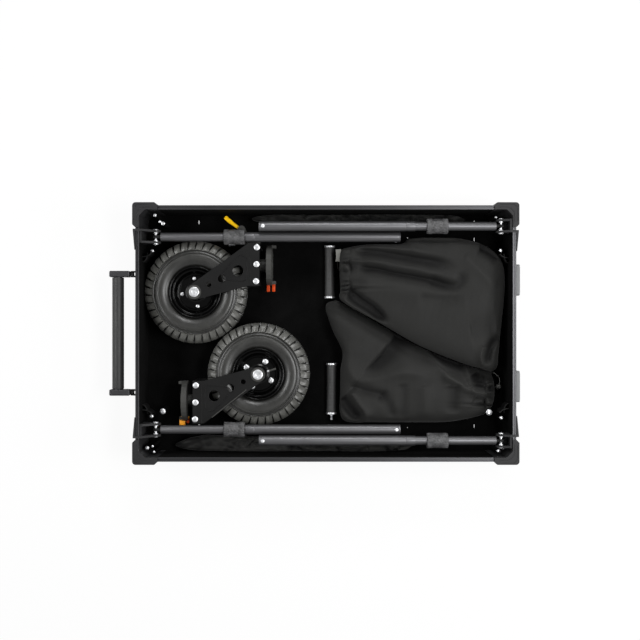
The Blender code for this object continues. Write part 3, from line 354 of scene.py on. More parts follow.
def shell(name, patches, body, nodes=()):
    """One piece from its patches: equal points are merged and all faces turned outwards."""
    points, faces, coats, start = [], [], [], 0
    used = sorted({p[2] for p in patches})
    for verts, quads, coat in patches:
        points.append(verts)
        faces += [[i + start for i in quad] for quad in quads]
        coats += [used.index(coat)] * len(quads)
        start += len(verts)
    mesh = bpy.data.meshes.new(name)
    mesh.from_pydata(np.concatenate(points).tolist(), [], faces)
    mesh.polygons.foreach_set("material_index", coats)
    shape = bmesh.new()
    shape.from_mesh(mesh)
    bmesh.ops.remove_doubles(shape, verts=shape.verts, dist=WELD)
    bmesh.ops.dissolve_degenerate(shape, edges=shape.edges, dist=WELD)
    bmesh.ops.recalc_face_normals(shape, faces=shape.faces)
    shape.to_mesh(mesh)
    shape.free()
    for coat in used:
        mesh.materials.append(material(coat))
    mesh.shade_smooth()
    mesh.set_sharp_from_angle(angle=SMOOTH_ANGLE)
    return settle(put(name, mesh), body, nodes)


def settle(piece, body, nodes=()):
    """Let a piece ride on its body and stand for its nodes."""
    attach(piece, body)
    if nodes:
        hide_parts(*nodes)
    return piece


def paint_light(piece, shade):
    """Write the attribute "painted_light", a factor of painted light and shade, at every point of a piece,
    from a function of its place.
    """
    mesh = piece.data
    points = np.empty(len(mesh.vertices) * 3, np.float32)
    mesh.vertices.foreach_get("co", points)
    values = shade(*points.astype(float).reshape(-1, 3).T)
    mesh.attributes.new("painted_light", "FLOAT", "POINT").data.foreach_set("value", values.astype(np.float32))


def softened(points, reach, closed=False, steps=ROUND_STEPS):
    """Round a line's corners: each becomes a quadratic curve that starts and ends reach away from it."""
    points = np.asarray(points, float)
    before, after = np.roll(points, 1, axis=0), np.roll(points, -1, axis=0)
    t = np.linspace(0, 1, steps)[:, None]
    out = []
    for i, corner in enumerate(points):
        if not closed and i in (0, len(points) - 1):
            out.append(corner[None, :])
            continue
        back, ahead = before[i] - corner, after[i] - corner
        cut = min(reach, np.linalg.norm(back) / 2, np.linalg.norm(ahead) / 2)
        start = corner + back / max(np.linalg.norm(back), 1e-9) * cut
        end = corner + ahead / max(np.linalg.norm(ahead), 1e-9) * cut
        out.append((1 - t) ** 2 * start + 2 * t * (1 - t) * corner + t ** 2 * end)
    return np.concatenate(out)


def basis(axis):
    """Three unit vectors of which the last points along an axis."""
    w = np.asarray(axis, float) / np.linalg.norm(axis)
    u = np.cross((0, 1, 0) if abs(w[1]) < 0.9 else (0, 0, 1), w)
    u /= np.linalg.norm(u)
    return u, np.cross(w, u), w


def turned(profile, centre, axis=(0, 0, 1), coat="steel", sides=SIDES, closed=False):
    """Each (radius, height) of the profile goes once round the axis through the centre."""
    profile = np.asarray(profile, float)
    u, v, w = basis(axis)
    angle = np.arange(sides) / sides * TAU
    ring = np.cos(angle)[None, :, None] * u + np.sin(angle)[None, :, None] * v
    points = np.asarray(centre) + profile[:, 0, None, None] * ring + profile[:, 1, None, None] * w
    return patch(points, closed, True, coat)


def directions(path, closed=False):
    """Unit vectors along a path, at each of its points."""
    ahead = np.roll(path, -1, axis=0) - np.roll(path, 1, axis=0)
    if not closed:
        ahead[0], ahead[-1] = path[1] - path[0], path[-1] - path[-2]
    return ahead / np.maximum(np.linalg.norm(ahead, axis=1, keepdims=True), 1e-9)


def slab(outline, low, high, edge, coat="plate", frame_axes=None, origin=(0, 0, 0)):
    """A flat outline thickened from low to high, with rounded rims and lids that meet in its middle.

    Each ring of points is the outline moved inwards along its own normals by the rim's rounding.
    frame_axes are the directions of the outline's two axes and of its thickness.
    """
    outline = np.asarray(outline, float)
    along, following = directions(outline, closed=True), np.roll(outline, -1, axis=0)
    turn = np.sum(outline[:, 0] * following[:, 1] - following[:, 0] * outline[:, 1])
    normal = np.stack([along[:, 1], -along[:, 0]], axis=1) * (1 if turn > 0 else -1)
    lid = np.repeat(outline.mean(axis=0)[None, :], len(outline), 0)
    rise = np.linspace(0, math.pi / 2, ROUND_STEPS)
    inset = edge * (1 - np.sin(rise))
    height = edge * (1 - np.cos(rise))
    rings = [(lid, low), *((outline - normal * i, low + h) for i, h in zip(inset, height)),
             *((outline - normal * i, high - h) for i, h in zip(inset[::-1], height[::-1])), (lid, high)]
    points = np.array([np.c_[ring, np.full(len(ring), z)] for ring, z in rings])
    axes = np.asarray(frame_axes if frame_axes is not None else np.eye(3), float)
    return patch(points @ axes + np.asarray(origin), False, True, coat)


def block(low, high, corner, edge, coat="plate", axis=2):
    """A box between two corners with rounded corners along one axis and rounded rims."""
    order = [(1, 2, 0), (2, 0, 1), (0, 1, 2)][axis]
    low, high = np.minimum(low, high), np.maximum(low, high)
    a, b, c = order
    square = [(low[a], low[b]), (high[a], low[b]), (high[a], high[b]), (low[a], high[b])]
    axes = np.eye(3)[list(order)]
    return slab(softened(square, corner, closed=True), low[c], high[c], edge, coat, axes)


def swept(path, radius, coat="steel", sides=16, closed=False):
    """A round section carried along a path, its plane square to the path at every point."""
    path = np.asarray(path, float)
    ahead = directions(path, closed)
    side = np.cross(ahead, (0, 0, 1.0))
    flat = np.linalg.norm(side, axis=1, keepdims=True) < 1e-3
    side = np.where(flat, (1.0, 0, 0), side)
    side /= np.linalg.norm(side, axis=1, keepdims=True)
    up = np.cross(side, ahead)
    angle = np.arange(sides) / sides * TAU
    radius = np.broadcast_to(radius, len(path))
    tube = (path[:, None] + radius[:, None, None]
            * (np.cos(angle)[None, :, None] * side[:, None] + np.sin(angle)[None, :, None] * up[:, None]))
    if not closed:
        start, end = (np.repeat(path[[i], None], sides, 1) for i in (0, -1))
        tube = np.concatenate([start, tube, end])
    return patch(tube, closed, True, coat)


def screw(centre, axis, radius, height, coat="steel"):
    """A domed screw head with a round socket, as one turned profile."""
    crown = [(radius * math.cos(a), height * (0.45 + 0.55 * math.sin(a))) for a in np.linspace(0.25, 1.0, 5)]
    socket, floor = radius * 0.42, height * 0.35
    profile = [(0, -0.0002), (radius, -0.0002), (radius, 0.0), (radius, height * 0.45), *crown,
               (socket, height), (socket * 0.94, floor), (0, floor)]
    return turned(profile, centre, axis, coat, 24)


def dome(centre, axis, radius, height, coat="steel"):
    """A bolt head: a short cylinder whose top is a flattened sphere with a shallow dimple."""
    arc = np.linspace(0.1, 1.25, 7)
    crown = np.c_[radius * np.cos(arc), height * (0.55 + 0.45 * np.sin(arc))]
    profile = [(0, -0.0006), (radius, -0.0006), (radius, height * 0.55), *crown,
               (radius * 0.22, height * 0.95), (0, height * 0.92)]
    return turned(profile, centre, axis, coat, 28)


def centre_of(node):
    """Middle of one of the frame's nodes."""
    low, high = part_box(node)
    return np.array((low + high) / 2)


def corners_of(node):
    """Lowest and highest corner of one of the frame's nodes."""
    return [np.array(corner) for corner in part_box(node)]


def cubic(p0, p1, p2, p3, t):
    """A Catmull-Rom span: at the share t of the way from p1 to p2, with p0 before and p3 after them."""
    return 0.5 * (2 * p1 + (p2 - p0) * t + (2 * p0 - 5 * p1 + 4 * p2 - p3) * t ** 2
                  + (3 * p1 - p0 - 3 * p2 + p3) * t ** 3)


def closed_curve(points, count):
    """That many points of a smooth closed curve through the given ones."""
    points = np.asarray(points, float)
    position = np.arange(count) / count * len(points)
    index = position.astype(int)
    return cubic(*(points[(index + k) % len(points)] for k in (-1, 0, 1, 2)), (position - index)[:, None])


def open_curve(points, per_span):
    """A smooth open curve through the points, its ends drawn out straight."""
    points = np.asarray(points, float)
    ends = np.concatenate([[2 * points[0] - points[1]], points, [2 * points[-1] - points[-2]]])
    t = (np.arange(per_span) / per_span)[None, :, None]
    spans = cubic(*(ends[k:len(ends) - 3 + k][:, None] for k in range(4)), t)
    return np.concatenate([spans.reshape(-1, points.shape[1]), points[-1:]])


def smooth_step(value, low, high):
    """0 below low, 1 above high and the cubic 3t^2 - 2t^3 between."""
    t = np.clip((value - low) / (high - low), 0, 1)
    return t * t * (3 - 2 * t)


def ripple(x, y, seed, octaves, scale):
    """Uneven waves: sines at doubling scale and halving height, each along its own random direction."""
    draw = np.random.default_rng(seed)
    total = np.zeros_like(x)
    for octave in range(octaves):
        for _ in range(3):
            heading = draw.uniform(0, TAU)
            phase = draw.uniform(0, TAU)
            wave = x * math.cos(heading) + y * math.sin(heading)
            total += np.sin(wave * scale * 2 ** octave + phase) / 2 ** octave / 3
    return total


# Operators


class CART_OT_stage(bpy.types.Operator):
    """Camera straight above the tray, soft lamps, pale floor and white world"""

    bl_idname = "cart.stage"
    bl_label = "Stage"

    def execute(self, context):
        scene = context.scene
        scene.view_settings.view_transform = "Standard"
        # 640 px at 2.4 mm each are seen in the plane of the tray's rim, 2.4 m below the camera
        lens = bpy.data.cameras.new("camera")
        lens.sensor_width = 36.0
        lens.lens = 36.0 * 2.4 / (640 * 0.0024)
        lens.clip_end = 20.0
        scene.camera = put("camera", lens)
        scene.camera.location = (-0.0139, 0.0324, 2.55)

        scene.world = bpy.data.worlds.new("studio")
        scene.world.use_nodes = True
        tree = scene.world.node_tree
        tree.nodes.clear()
        ray = add(tree, "ShaderNodeLightPath").outputs
        seen = calculate(tree, "MAXIMUM", ray["Is Camera Ray"], ray["Is Glossy Ray"])
        seen = calculate(tree, "MAXIMUM", seen, ray["Is Transmission Ray"])
        # the studio is white round the object and has a dimmer ceiling
        heading = add(tree, "ShaderNodeSeparateXYZ",
                      {"Vector": add(tree, "ShaderNodeTexCoord").outputs["Generated"]})
        ceiling = add(tree, "ShaderNodeMapRange", {"Value": heading.outputs["Z"], "From Min": 0.3,
                                                   "From Max": 0.85, "To Min": 1.0, "To Max": 0.25})
        soft, white = (add(tree, "ShaderNodeBackground", {"Color": (1, 1, 1, 1), "Strength": strength})
                       for strength in (0.10, ceiling.outputs["Result"]))
        mixed = add(tree, "ShaderNodeMixShader", {0: seen, 1: soft.outputs[0], 2: white.outputs[0]})
        add(tree, "ShaderNodeOutputWorld", {"Surface": mixed.outputs[0]})

        for name, spot, size, power in (("key_lamp", (0.1, 2.1, 1.9), (0.9, 0.9), 28.0),
                                        ("high_lamp", (0.93, 0.0, 2.45), (1.3, 0.5), 34.0),
                                        ("right_lamp", (2.1, -0.3, 1.5), (1.2, 0.7), 28.0),
                                        ("left_lamp", (-1.8, 0.2, 1.8), (1.2, 0.7), 24.0)):
            lamp = bpy.data.lights.new(name, "AREA")
            lamp.shape = "RECTANGLE"
            lamp.size, lamp.size_y = size
            lamp.energy = power
            holder = put(name, lamp)
            holder.location = spot
            holder.rotation_euler = Vector(spot).to_track_quat("Z", "Y").to_euler()

        # a sheet of paper 12 m wide, a little below the cart's resting plane
        half, under = 6.0, -0.0004
        points, faces, _ = patch(np.array([[(x, y, under) for x in (-half, half)] for y in (-half, half)]))
        mesh = bpy.data.meshes.new("floor")
        mesh.from_pydata(points.tolist(), [], faces)
        floor = put("floor", mesh)
        paper = finish("matt_paper_floor", colours().floor, 0.9, grain=3.0, spread=0.01, depth=0.01)
        tree, shader = nodes_of(paper)
        # most of the light that the camera sees comes from the paper itself, so that it shows plain white
        ray = add(tree, "ShaderNodeLightPath").outputs
        glow = add(tree, "ShaderNodeEmission", {"Color": (1, 1, 1, 1), "Strength": 1.0})
        share = calculate(tree, "MULTIPLY", ray["Is Camera Ray"], 0.92)
        shown = add(tree, "ShaderNodeMixShader", {0: share, 1: shader.outputs[0], 2: glow.outputs[0]})
        tree.links.new(shown.outputs[0], tree.nodes["Material Output"].inputs["Surface"])
        mesh.materials.append(paper)
        return {"FINISHED"}


# Height of the pile that the cords lie on, and their routes: where each leaves its hem comes first
CORD_REST = 0.0146
REAR_CORD_ROUTE = ((0.0315, 0.160), (0.0307, 0.170), (0.0305, 0.182), (0.0308, 0.194), (0.0303, 0.206))
FRONT_CORD_ROUTE = ((0.4235, -0.100), (0.4300, -0.104), (0.4370, -0.112), (0.4405, -0.122), (0.4385, -0.131))
TOGGLE_RADIUS = 0.0065


def drawstring(name, route, z, body, node):
    """A braided cord along its route, as a curve of one open spline, with its path and length."""
    path = open_curve([(x, y, z) for x, y in route], 6)
    curve = bpy.data.curves.new(name, "CURVE")
    curve.dimensions = "3D"
    curve.bevel_depth = sizes().cord_radius
    curve.bevel_resolution = 4
    curve.use_fill_caps = True
    spline = curve.splines.new("POLY")
    spline.points.add(len(path) - 1)
    spline.points.foreach_set("co", np.c_[path, np.ones(len(path))].ravel())
    curve.materials.append(material("cord"))
    piece = settle(put(name, curve), body, [node])
    return piece, path, float(np.linalg.norm(np.diff(path, axis=0), axis=1).sum())


class CART_OT_cords(bpy.types.Operator):
    """Drawstrings of the two bags and the ball toggle at the end of one"""

    bl_idname = "cart.cords"
    bl_label = "Drawstrings"

    def execute(self, context):
        radius = sizes().cord_radius
        rear, path, run = drawstring("rear_drawstring", REAR_CORD_ROUTE, CORD_REST + radius, "rear_bag",
                                     "rear_bag_cord")

        front, path, run = drawstring("front_drawstring", FRONT_CORD_ROUTE, CORD_REST + TOGGLE_RADIUS,
                                      "front_bag", "front_bag_cord")
        heading = path[-1] - path[-2]
        heading /= np.linalg.norm(heading)
        middle = path[-1] + heading * TOGGLE_RADIUS * 0.9
        arc = np.linspace(math.radians(165), math.radians(8), 24)
        ball = np.c_[np.sin(arc), np.cos(arc)] * TOGGLE_RADIUS
        hole = [(0.0, -TOGGLE_RADIUS * 0.72), (0.0018, -TOGGLE_RADIUS * 0.74)]
        stop = [(0.0022, TOGGLE_RADIUS * 1.05), (0.0, TOGGLE_RADIUS * 1.15)]
        toggle = shell("ball_toggle", [turned([*hole, *ball, *stop], middle, heading, "cord", 40)],
                       "front_bag", ["drawstring_toggle"])
        return {"FINISHED"}


# A rail's height, the width of the ledge under the floor panel and the depth of its inner lip
RAIL_HEIGHT, RAIL_LEDGE, RAIL_LIP = 0.150, 0.012, 0.004


def rail_section(wall):
    """Outside, top and inner lip of a rail as inward distance and height: two bands and a top groove."""
    band, bevel, groove = 0.0009, 0.0006, 0.0030
    bands = [(inward, low + up) for low in (0.020, 0.112)
             for inward, up in ((0.0, 0.0), (band, 0.0015), (band, 0.0045), (0.0, 0.006))]
    top = RAIL_HEIGHT
    return np.array([(wall + RAIL_LEDGE, 0.0), (0.0, 0.0), *bands, (0.0, top - bevel), (bevel, top),
                     (wall * 0.32, top), (wall * 0.34, top - groove), (wall * 0.66, top - groove),
                     (wall * 0.68, top), (wall - bevel, top), (wall, top - bevel), (wall, top - RAIL_LIP)])


def rail_lining(wall):
    """The felt covered inner face of a rail, from its lip to the ledge that carries the floor."""
    ledge = 0.003
    return np.array([(wall, RAIL_HEIGHT - RAIL_LIP), (wall, ledge), (wall + RAIL_LEDGE, ledge),
                     (wall + RAIL_LEDGE, 0.0)])


class CART_OT_rails(bpy.types.Operator):
    """Four anodised rails, each a section carried along a straight path"""

    bl_idname = "cart.rails"
    bl_label = "Rails"

    def execute(self, context):
        for node, axis, side in (("side_rail_front", 0, -1), ("side_rail_rear", 0, 1),
                                 ("end_rail_left", 1, -1), ("end_rail_right", 1, 1)):
            low, high = corners_of(node)
            across = 1 - axis
            wall = high[across] - low[across] - RAIL_LEDGE
            outer = high[across] if side > 0 else low[across]
            outside, lining = rail_section(wall), rail_lining(wall)
            whole = np.concatenate([outside, lining[1:-1]])

            def ends(section):
                """The section's points at both ends of the rail."""
                points = np.zeros((2, len(section), 3))
                points[:, :, across] = outer - side * section[:, 0]
                points[:, :, 2] = section[:, 1]
                points[0, :, axis], points[1, :, axis] = low[axis], high[axis]
                return points

            patches = [patch(ends(outside), coat="rail_x" if axis == 0 else "rail_y"),
                       patch(ends(lining), coat="carpet"),
                       *((cap, [list(range(len(whole)))], "rail_x") for cap in ends(whole))]
            shell(node + "_extrusion", patches, "tray", [node])
        return {"FINISHED"}


# Screws on standoffs in the corners, in mm: distance from the end wall and the side wall, height, radius
CORNER_SCREWS = {
    "rear_left": ((33, 10, 118, 4.2), (44.5, 25, 112, 3.4), (52, 29.5, 112, 4.8), (20, 94, 80, 4.2)),
    "front_left": ((18, 92, 80, 5), (46, 104, 76, 7.5), (13, 18, 112, 5.2), (26, 22, 112, 3.2),
                   (30, 8, 112, 3.2)),
    "rear_right": ((32, 14, 104, 3.4), (18.5, 94, 92, 4.4), (48, 30, 100, 3)),
    "front_right": ((17.5, 90, 96, 4.4), (45, 102, 80, 8), (26.5, 10, 104, 4.4), (16, 18, 110, 3.2)),
}
# Raised rims on a casting's top, in mm in from its outer corner
TOP_RIMS = (((4.5, 46), (4.5, 12), (8.5, 8.5), (12, 4.5), (46, 4.5)),
            ((11.5, 48), (11.5, 24), (24, 11.5), (48, 11.5)))
# Inner faces of the end walls and side walls, and the top of the carpet
INNER_X, INNER_Y = 0.4486, 0.2975
CARPET_TOP = 0.0143


def band(line, half_width):
    """Outline of a strip that runs along a line, half a width to either side of it."""
    line = np.asarray(line, float)
    ahead = np.gradient(line, axis=0)
    ahead /= np.linalg.norm(ahead, axis=1, keepdims=True)
    side = np.c_[-ahead[:, 1], ahead[:, 0]] * half_width
    return np.concatenate([line + side, (line - side)[::-1]])


class CART_OT_castings(bpy.types.Operator):
    """Screws, ribs and standoffs round the corner castings and pivot brackets"""

    bl_idname = "cart.castings"
    bl_label = "Corner details"

    def execute(self, context):
        for corner in CORNERS:
            sx = 1 if "right" in corner else -1
            sy = 1 if "rear" in corner else -1
            low, high = corners_of("corner_casting_" + corner)
            outer = np.array([high[0] if sx > 0 else low[0], high[1] if sy > 0 else low[1]])
            # three screws in each outer face, 34 mm from the corner
            inset = outer - np.array((sx, sy)) * 0.034
            parts = []
            for z in (0.030, 0.076, 0.122):
                parts.append(screw((inset[0], outer[1], z), (0, sy, 0), radius=0.0048, height=0.002))
                parts.append(screw((outer[0], inset[1], z), (sx, 0, 0), radius=0.0048, height=0.002))
            for u, v, z, radius in metres(CORNER_SCREWS[corner]):
                foot = np.array([sx * (INNER_X - u), sy * (INNER_Y - v), CARPET_TOP + 0.0003])
                rise = z - foot[2]
                post = softened([(0, 0), (radius * 1.2, 0), (radius * 1.1, rise), (0, rise)], 0.0008)
                parts.append(turned(post, foot, coat="spacer", sides=24))
                parts.append(screw((foot[0], foot[1], z), (0, 0, 1), radius, radius * 0.55))
            shell("casting_screws_" + corner, parts, "tray")
            shell("casting_ribs_" + corner, self.ribs(corner, sx, sy, outer, high[2]), "tray")
        return {"FINISHED"}

    def ribs(self, corner, sx, sy, outer, top):
        """Curved upright ribs from the end wall to the bracket, and raised rims on the casting's top."""
        parts = []
        low, high = corners_of("pivot_bracket_" + corner)
        inner_ear = low[1] if sy > 0 else high[1]
        wall = sx * (INNER_X - 0.0004)
        t = np.linspace(0, math.pi / 2, 14)
        for reach, drop, height in ((0.022, 0.010, 0.112), (0.012, 0.022, 0.104)):
            line = np.c_[wall - sx * reach * np.cos(t), inner_ear - sy * (0.0040 + drop * np.sin(t))]
            line[-1, 0] = wall
            parts.append(slab(band(line, 0.0015), 0.060, height, 0.0008, "plate"))
        for rim_line in TOP_RIMS:
            line = outer - softened(metres(rim_line), 0.005) * (sx, sy)
            parts.append(swept(np.c_[line, np.full(len(line), top)], 0.0008, "casting", 10))
        return parts


# Radii of a post's tube, sleeve and collar, and of the collar's bore
TUBE_RADIUS, SLEEVE_RADIUS, COLLAR_RADIUS, COLLAR_BORE = 0.0105, 0.0120, 0.0185, 0.0109


class CART_OT_posts(bpy.types.Operator):
    """Inner tubes, telescoping sleeves and sliding collars of the four posts"""

    bl_idname = "cart.posts"
    bl_label = "Posts"

    def execute(self, context):
        for corner in CORNERS:
            away = -1 if "right" in corner else 1
            pin = centre_of("pivot_pin_" + corner)
            tube, sleeve, collar = (self.span(node + corner, pin)
                                    for node in ("post_tube_", "post_sleeve_", "post_collar_"))
            screw_side = (0, -0.8, -0.6) if corner == "rear_left" else (0, 0, 1)
            shell("inner_tube_" + corner, self.tube(pin, away, tube[1]), "post_" + corner,
                  ["post_tube_" + corner])
            shell("pivot_pin_shaft_" + corner, self.pivot(pin, "pivot_pin_" + corner), "tray",
                  ["pivot_pin_" + corner])
            shell("sleeve_tube_" + corner, self.sleeve(pin, away, *sleeve, screw_side),
                  "sleeve_" + corner, ["post_sleeve_" + corner])
            shell("clamp_collar_" + corner, self.collar(pin, away, *collar), "collar_" + corner,
                  ["post_collar_" + corner])
        return {"FINISHED"}

    def span(self, node, pin):
        """Nearest and farthest distance of a node from its post's pin, along the post."""
        low, high = corners_of(node)
        return np.sort(np.abs(np.array([low[0], high[0]]) - pin[0]))

    def tube(self, pin, away, end):
        """The inner tube, bored from its far end, and the flat tongue that turns on the pin.

        The tongue is narrower than the bracket, so that the pin shows on both sides of it.
        """
        bore, depth = 0.009, 0.39
        tube = softened([(0, 0.0125), (TUBE_RADIUS, 0.0125), (TUBE_RADIUS, end), (bore, end),
                         (bore, end - depth), (0, end - depth)], 0.0006)
        t = np.linspace(-2.2, 2.2, 30)
        tongue = np.concatenate([[(0.0150, 0.0085)], np.c_[-np.cos(t), -np.sin(t)] * 0.0095,
                                 [(0.0150, -0.0085)]])
        tongue[:, 0] *= away
        return [turned(tube, pin, (away, 0, 0), "post"),
                slab(tongue, -0.0035, 0.0035, 0.0008, "plate", [(1, 0, 0), (0, 0, 1), (0, 1, 0)], pin)]

    def pivot(self, pin, node):
        """A pivot pin: its shaft, and a screw and a bush at each end."""
        low, high = corners_of(node)
        half = (high[1] - low[1]) / 2
        radius, reach = 0.0034, half - 0.0028
        parts = [turned([(0, -reach), (radius, -reach), (radius, reach), (0, reach)], pin, (0, 1, 0),
                        "steel", 24)]
        bush = softened([(radius, -0.0035), (0.0062, -0.0035), (0.0062, 0.0), (radius, 0.0)], 0.0005,
                        closed=True)
        for end in (-1, 1):
            facing = np.array((0, end, 0))
            parts.append(screw(pin + facing * (half - 0.0030), facing, radius=0.0068, height=0.0030))
            parts.append(turned(bush, pin + facing * (half - 0.0078), facing, "steel", 24, closed=True))
        return parts

    def sleeve(self, pin, away, start, end, facing):
        """A sleeve with a beaded end and a groove near its mouth, and the screw near its end."""
        r, wall = SLEEVE_RADIUS, 0.003
        line = softened([(0, end), (0.0106, end), (0.0122, end - 0.0012), (0.0122, end - 0.0040),
                         (0.0116, end - 0.0048), (r, end - 0.0070), (r, start + 0.024),
                         (0.0117, start + 0.0232), (0.0117, start + 0.0222), (r, start + 0.0214),
                         (r, start), (0.0108, start), (0.0108, end - wall), (0, end - wall)], 0.0004)
        seat = pin + (away * (end - 0.0105), 0, 0) + np.array(facing) * r
        return [turned(line, pin, (away, 0, 0), "post"), screw(seat, facing, radius=0.0044, height=0.0016)]

    def collar(self, pin, away, start, end):
        """A collar with ribbed ends and a band of diamonds: its radius ripples round and along the axis.

        The diamonds are the product of two sines that wind round the axis in opposite senses.
        """
        radius, low = COLLAR_RADIUS, COLLAR_RADIUS - 0.0008
        chamfer, ribbed = 0.0012, 0.012
        profile = softened([(COLLAR_BORE, start), (radius - chamfer, start), (radius, start + 0.0015),
                            (radius, start + ribbed), (low, start + 0.013),
                            *[(low, s) for s in np.linspace(start + 0.0135, end - 0.0135, 24)],
                            (low, end - 0.013), (radius, end - ribbed), (radius, end - 0.0015),
                            (radius - chamfer, end), (COLLAR_BORE, end)], 0.0005)
        points, faces, coat = turned(profile, (0, 0, 0), (1, 0, 0), "collar", 144)
        angle = np.arctan2(points[:, 2], points[:, 1])
        r = np.hypot(points[:, 1], points[:, 2])
        outside = r > 0.017
        at_ends = outside & (np.abs(points[:, 0] - (start + end) / 2) > (end - start) / 2 - ribbed - 0.0005)
        band_only = outside & ~at_ends & (r < radius - 0.0004)
        twist = (points[:, 0] - start) / 0.0075 * math.pi
        diamonds = np.abs(np.sin(angle * 7 + twist) * np.sin(angle * 7 - twist))
        factor = np.where(at_ends, 1 - 0.035 * (np.cos(angle * 24) > 0.2), 1 + 0.035 * band_only * diamonds)
        points = points * np.c_[np.full(len(points), away), factor, factor] + pin
        bore = turned([(COLLAR_BORE, start), (COLLAR_BORE, end)], pin, (away, 0, 0), coat, 144)
        return [(points, faces, coat), bore]


# The tyre's section in mm, outwards from the axle and up from its middle: the bead, the ribs between
# sidewall and shoulder, and the crown
TYRE_BEAD = ((55.5, 21.5), (60, 22.5), (64, 24))
TYRE_RIBS = ((93, 35.2), (93.8, 36.2), (94.8, 36.4), (95.8, 35.4), (96.8, 33.8), (98.5, 33.4), (100, 32.6),
             (101.2, 31.6), (102.2, 32), (102.9, 34))
TYRE_CROWN = ((126, 19.2), (126.5, 17.8), *((126.5, up) for up in range(15, -1, -3)))
# Radius at which the shoulder's lugs start, and how far they reach from there
SHOULDER_START, SHOULDER_DEPTH = 0.1025, 0.024


def lug_cuts(angle, r, z):
    """How far out on the shoulder, the phase within a lug, the share that is shoulder, and the cut's depth.

    The phase of the nearest lug gives the distance to its cut, a V that widens and deepens outwards and
    leans with the radius. The lugs of one shoulder stand half a lug behind the other's.
    """
    lugs, groove = sizes().lugs, sizes().groove
    outward = np.clip((r - SHOULDER_START) / SHOULDER_DEPTH, 0, 1)
    phase = (angle / TAU * lugs + np.where(z >= 0, 0.0, 0.5) + 0.22 * outward ** 1.5) % 1.0
    away = np.abs(phase - 0.5) * TAU * r / lugs
    edge = groove * (0.20 + 0.80 * outward) * 0.35
    reach = smooth_step(r, SHOULDER_START, SHOULDER_START + 0.002) * smooth_step(np.abs(z), 0.0110, 0.0150)
    cut = (1 - smooth_step(away, edge, edge + 0.0010 + 0.0012 * outward)) * reach
    return outward, phase, reach, cut * (0.45 + 0.55 * outward)


def tyre(centre):
    """A tyre: a section carried round the axle, pushed in where cuts part its lugs.

    The section runs from one bead over shoulder and crown to the other. Each lug's face is scooped by
    a squared cosine of its phase and tilted by its sine, and a wavy groove runs round the crown.
    """
    lugs, depth = sizes().lugs, sizes().lug_depth
    radii = metres([65.5, 69, 73, 77, 81, 85, 88.5, 91.5])
    sidewall = np.c_[radii, 0.0190 + 0.0174 * np.sqrt(1 - ((radii - 0.0855) / 0.0235) ** 2)]
    rise = np.linspace(0, 1, 20)
    shoulder = np.c_[0.1035 + 0.0215 * rise, 0.0352 - 0.0060 * rise - 0.0085 * rise ** 2.4]
    half = np.concatenate([metres(TYRE_BEAD), sidewall, metres(TYRE_RIBS), shoulder, metres(TYRE_CROWN)])
    section = np.concatenate([half, (half[:-1] * (1, -1))[::-1]])
    steps = lugs * 22
    angle = (np.arange(steps) / steps * TAU)[None, :]
    r, z = section[:, :1], section[:, 1:]
    _, phase, reach, cut = lug_cuts(angle, r, z)
    centred = (phase + 0.5) % 1.0 - 0.5
    faces = smooth_step(r, 0.1028, 0.1060) * (1 - smooth_step(r, 0.110, 0.121))
    scoop = np.cos(centred * math.pi) ** 2 * faces
    tilt = (0.5 - centred) * reach
    middle = (np.abs((angle / TAU * lugs) % 1.0 - 0.5) - 0.25) * 4.0
    crown = (1 - smooth_step(np.abs(z - middle * 0.0035), 0.0012, 0.0026)) * (np.abs(z) < 0.011)
    push = np.maximum(depth * np.maximum(cut, 0.8 * crown), 0.0017 * scoop + 0.0012 * tilt)
    normal = directions(section) @ ((0, 1), (-1, 0))
    normal *= np.sign(normal[len(normal) // 2, 0])
    r, z = r - push * normal[:, :1], z - push * normal[:, 1:]
    points = np.stack([r * np.cos(angle), r * np.sin(angle), z], axis=-1)
    return patch(points + centre, True, True, "tyre")


# The rim's upper section in mm, outwards from the axle and up from its middle
RIM = ((6.3, 41.2), (16, 41.2), (17.8, 39.5), (17.8, 16.5), (20, 11.5), (25, 9.2), (40.5, 8), (43, 9.8),
       (45.5, 10), (48, 12.5), (51, 21.5), (53.5, 23.2), (56, 23.2), (57.5, 26.8), (60.5, 31.2),
       (63, 31.2), (64, 28.5), (56, 21.5))


def rim(centre, phase, head):
    """A dished rim with bolts on its bolt circle; its section is the same above and below."""
    upper = softened(metres(RIM), 0.0013, steps=5)
    section = np.concatenate([upper, upper[::-1] * (1, -1)])
    parts = [turned(section, centre, (0, 0, 1), "rim", SIDES * 2, closed=True)]
    circle = sizes().bolt_circle
    for quarter in range(4):
        a = math.radians(phase) + quarter * TAU / 4
        for up in (1, -1):
            seat = centre + (circle * math.cos(a), circle * math.sin(a), up * 0.0080)
            parts.append(dome(seat, (0, 0, up), head, head * 0.75))
    return parts


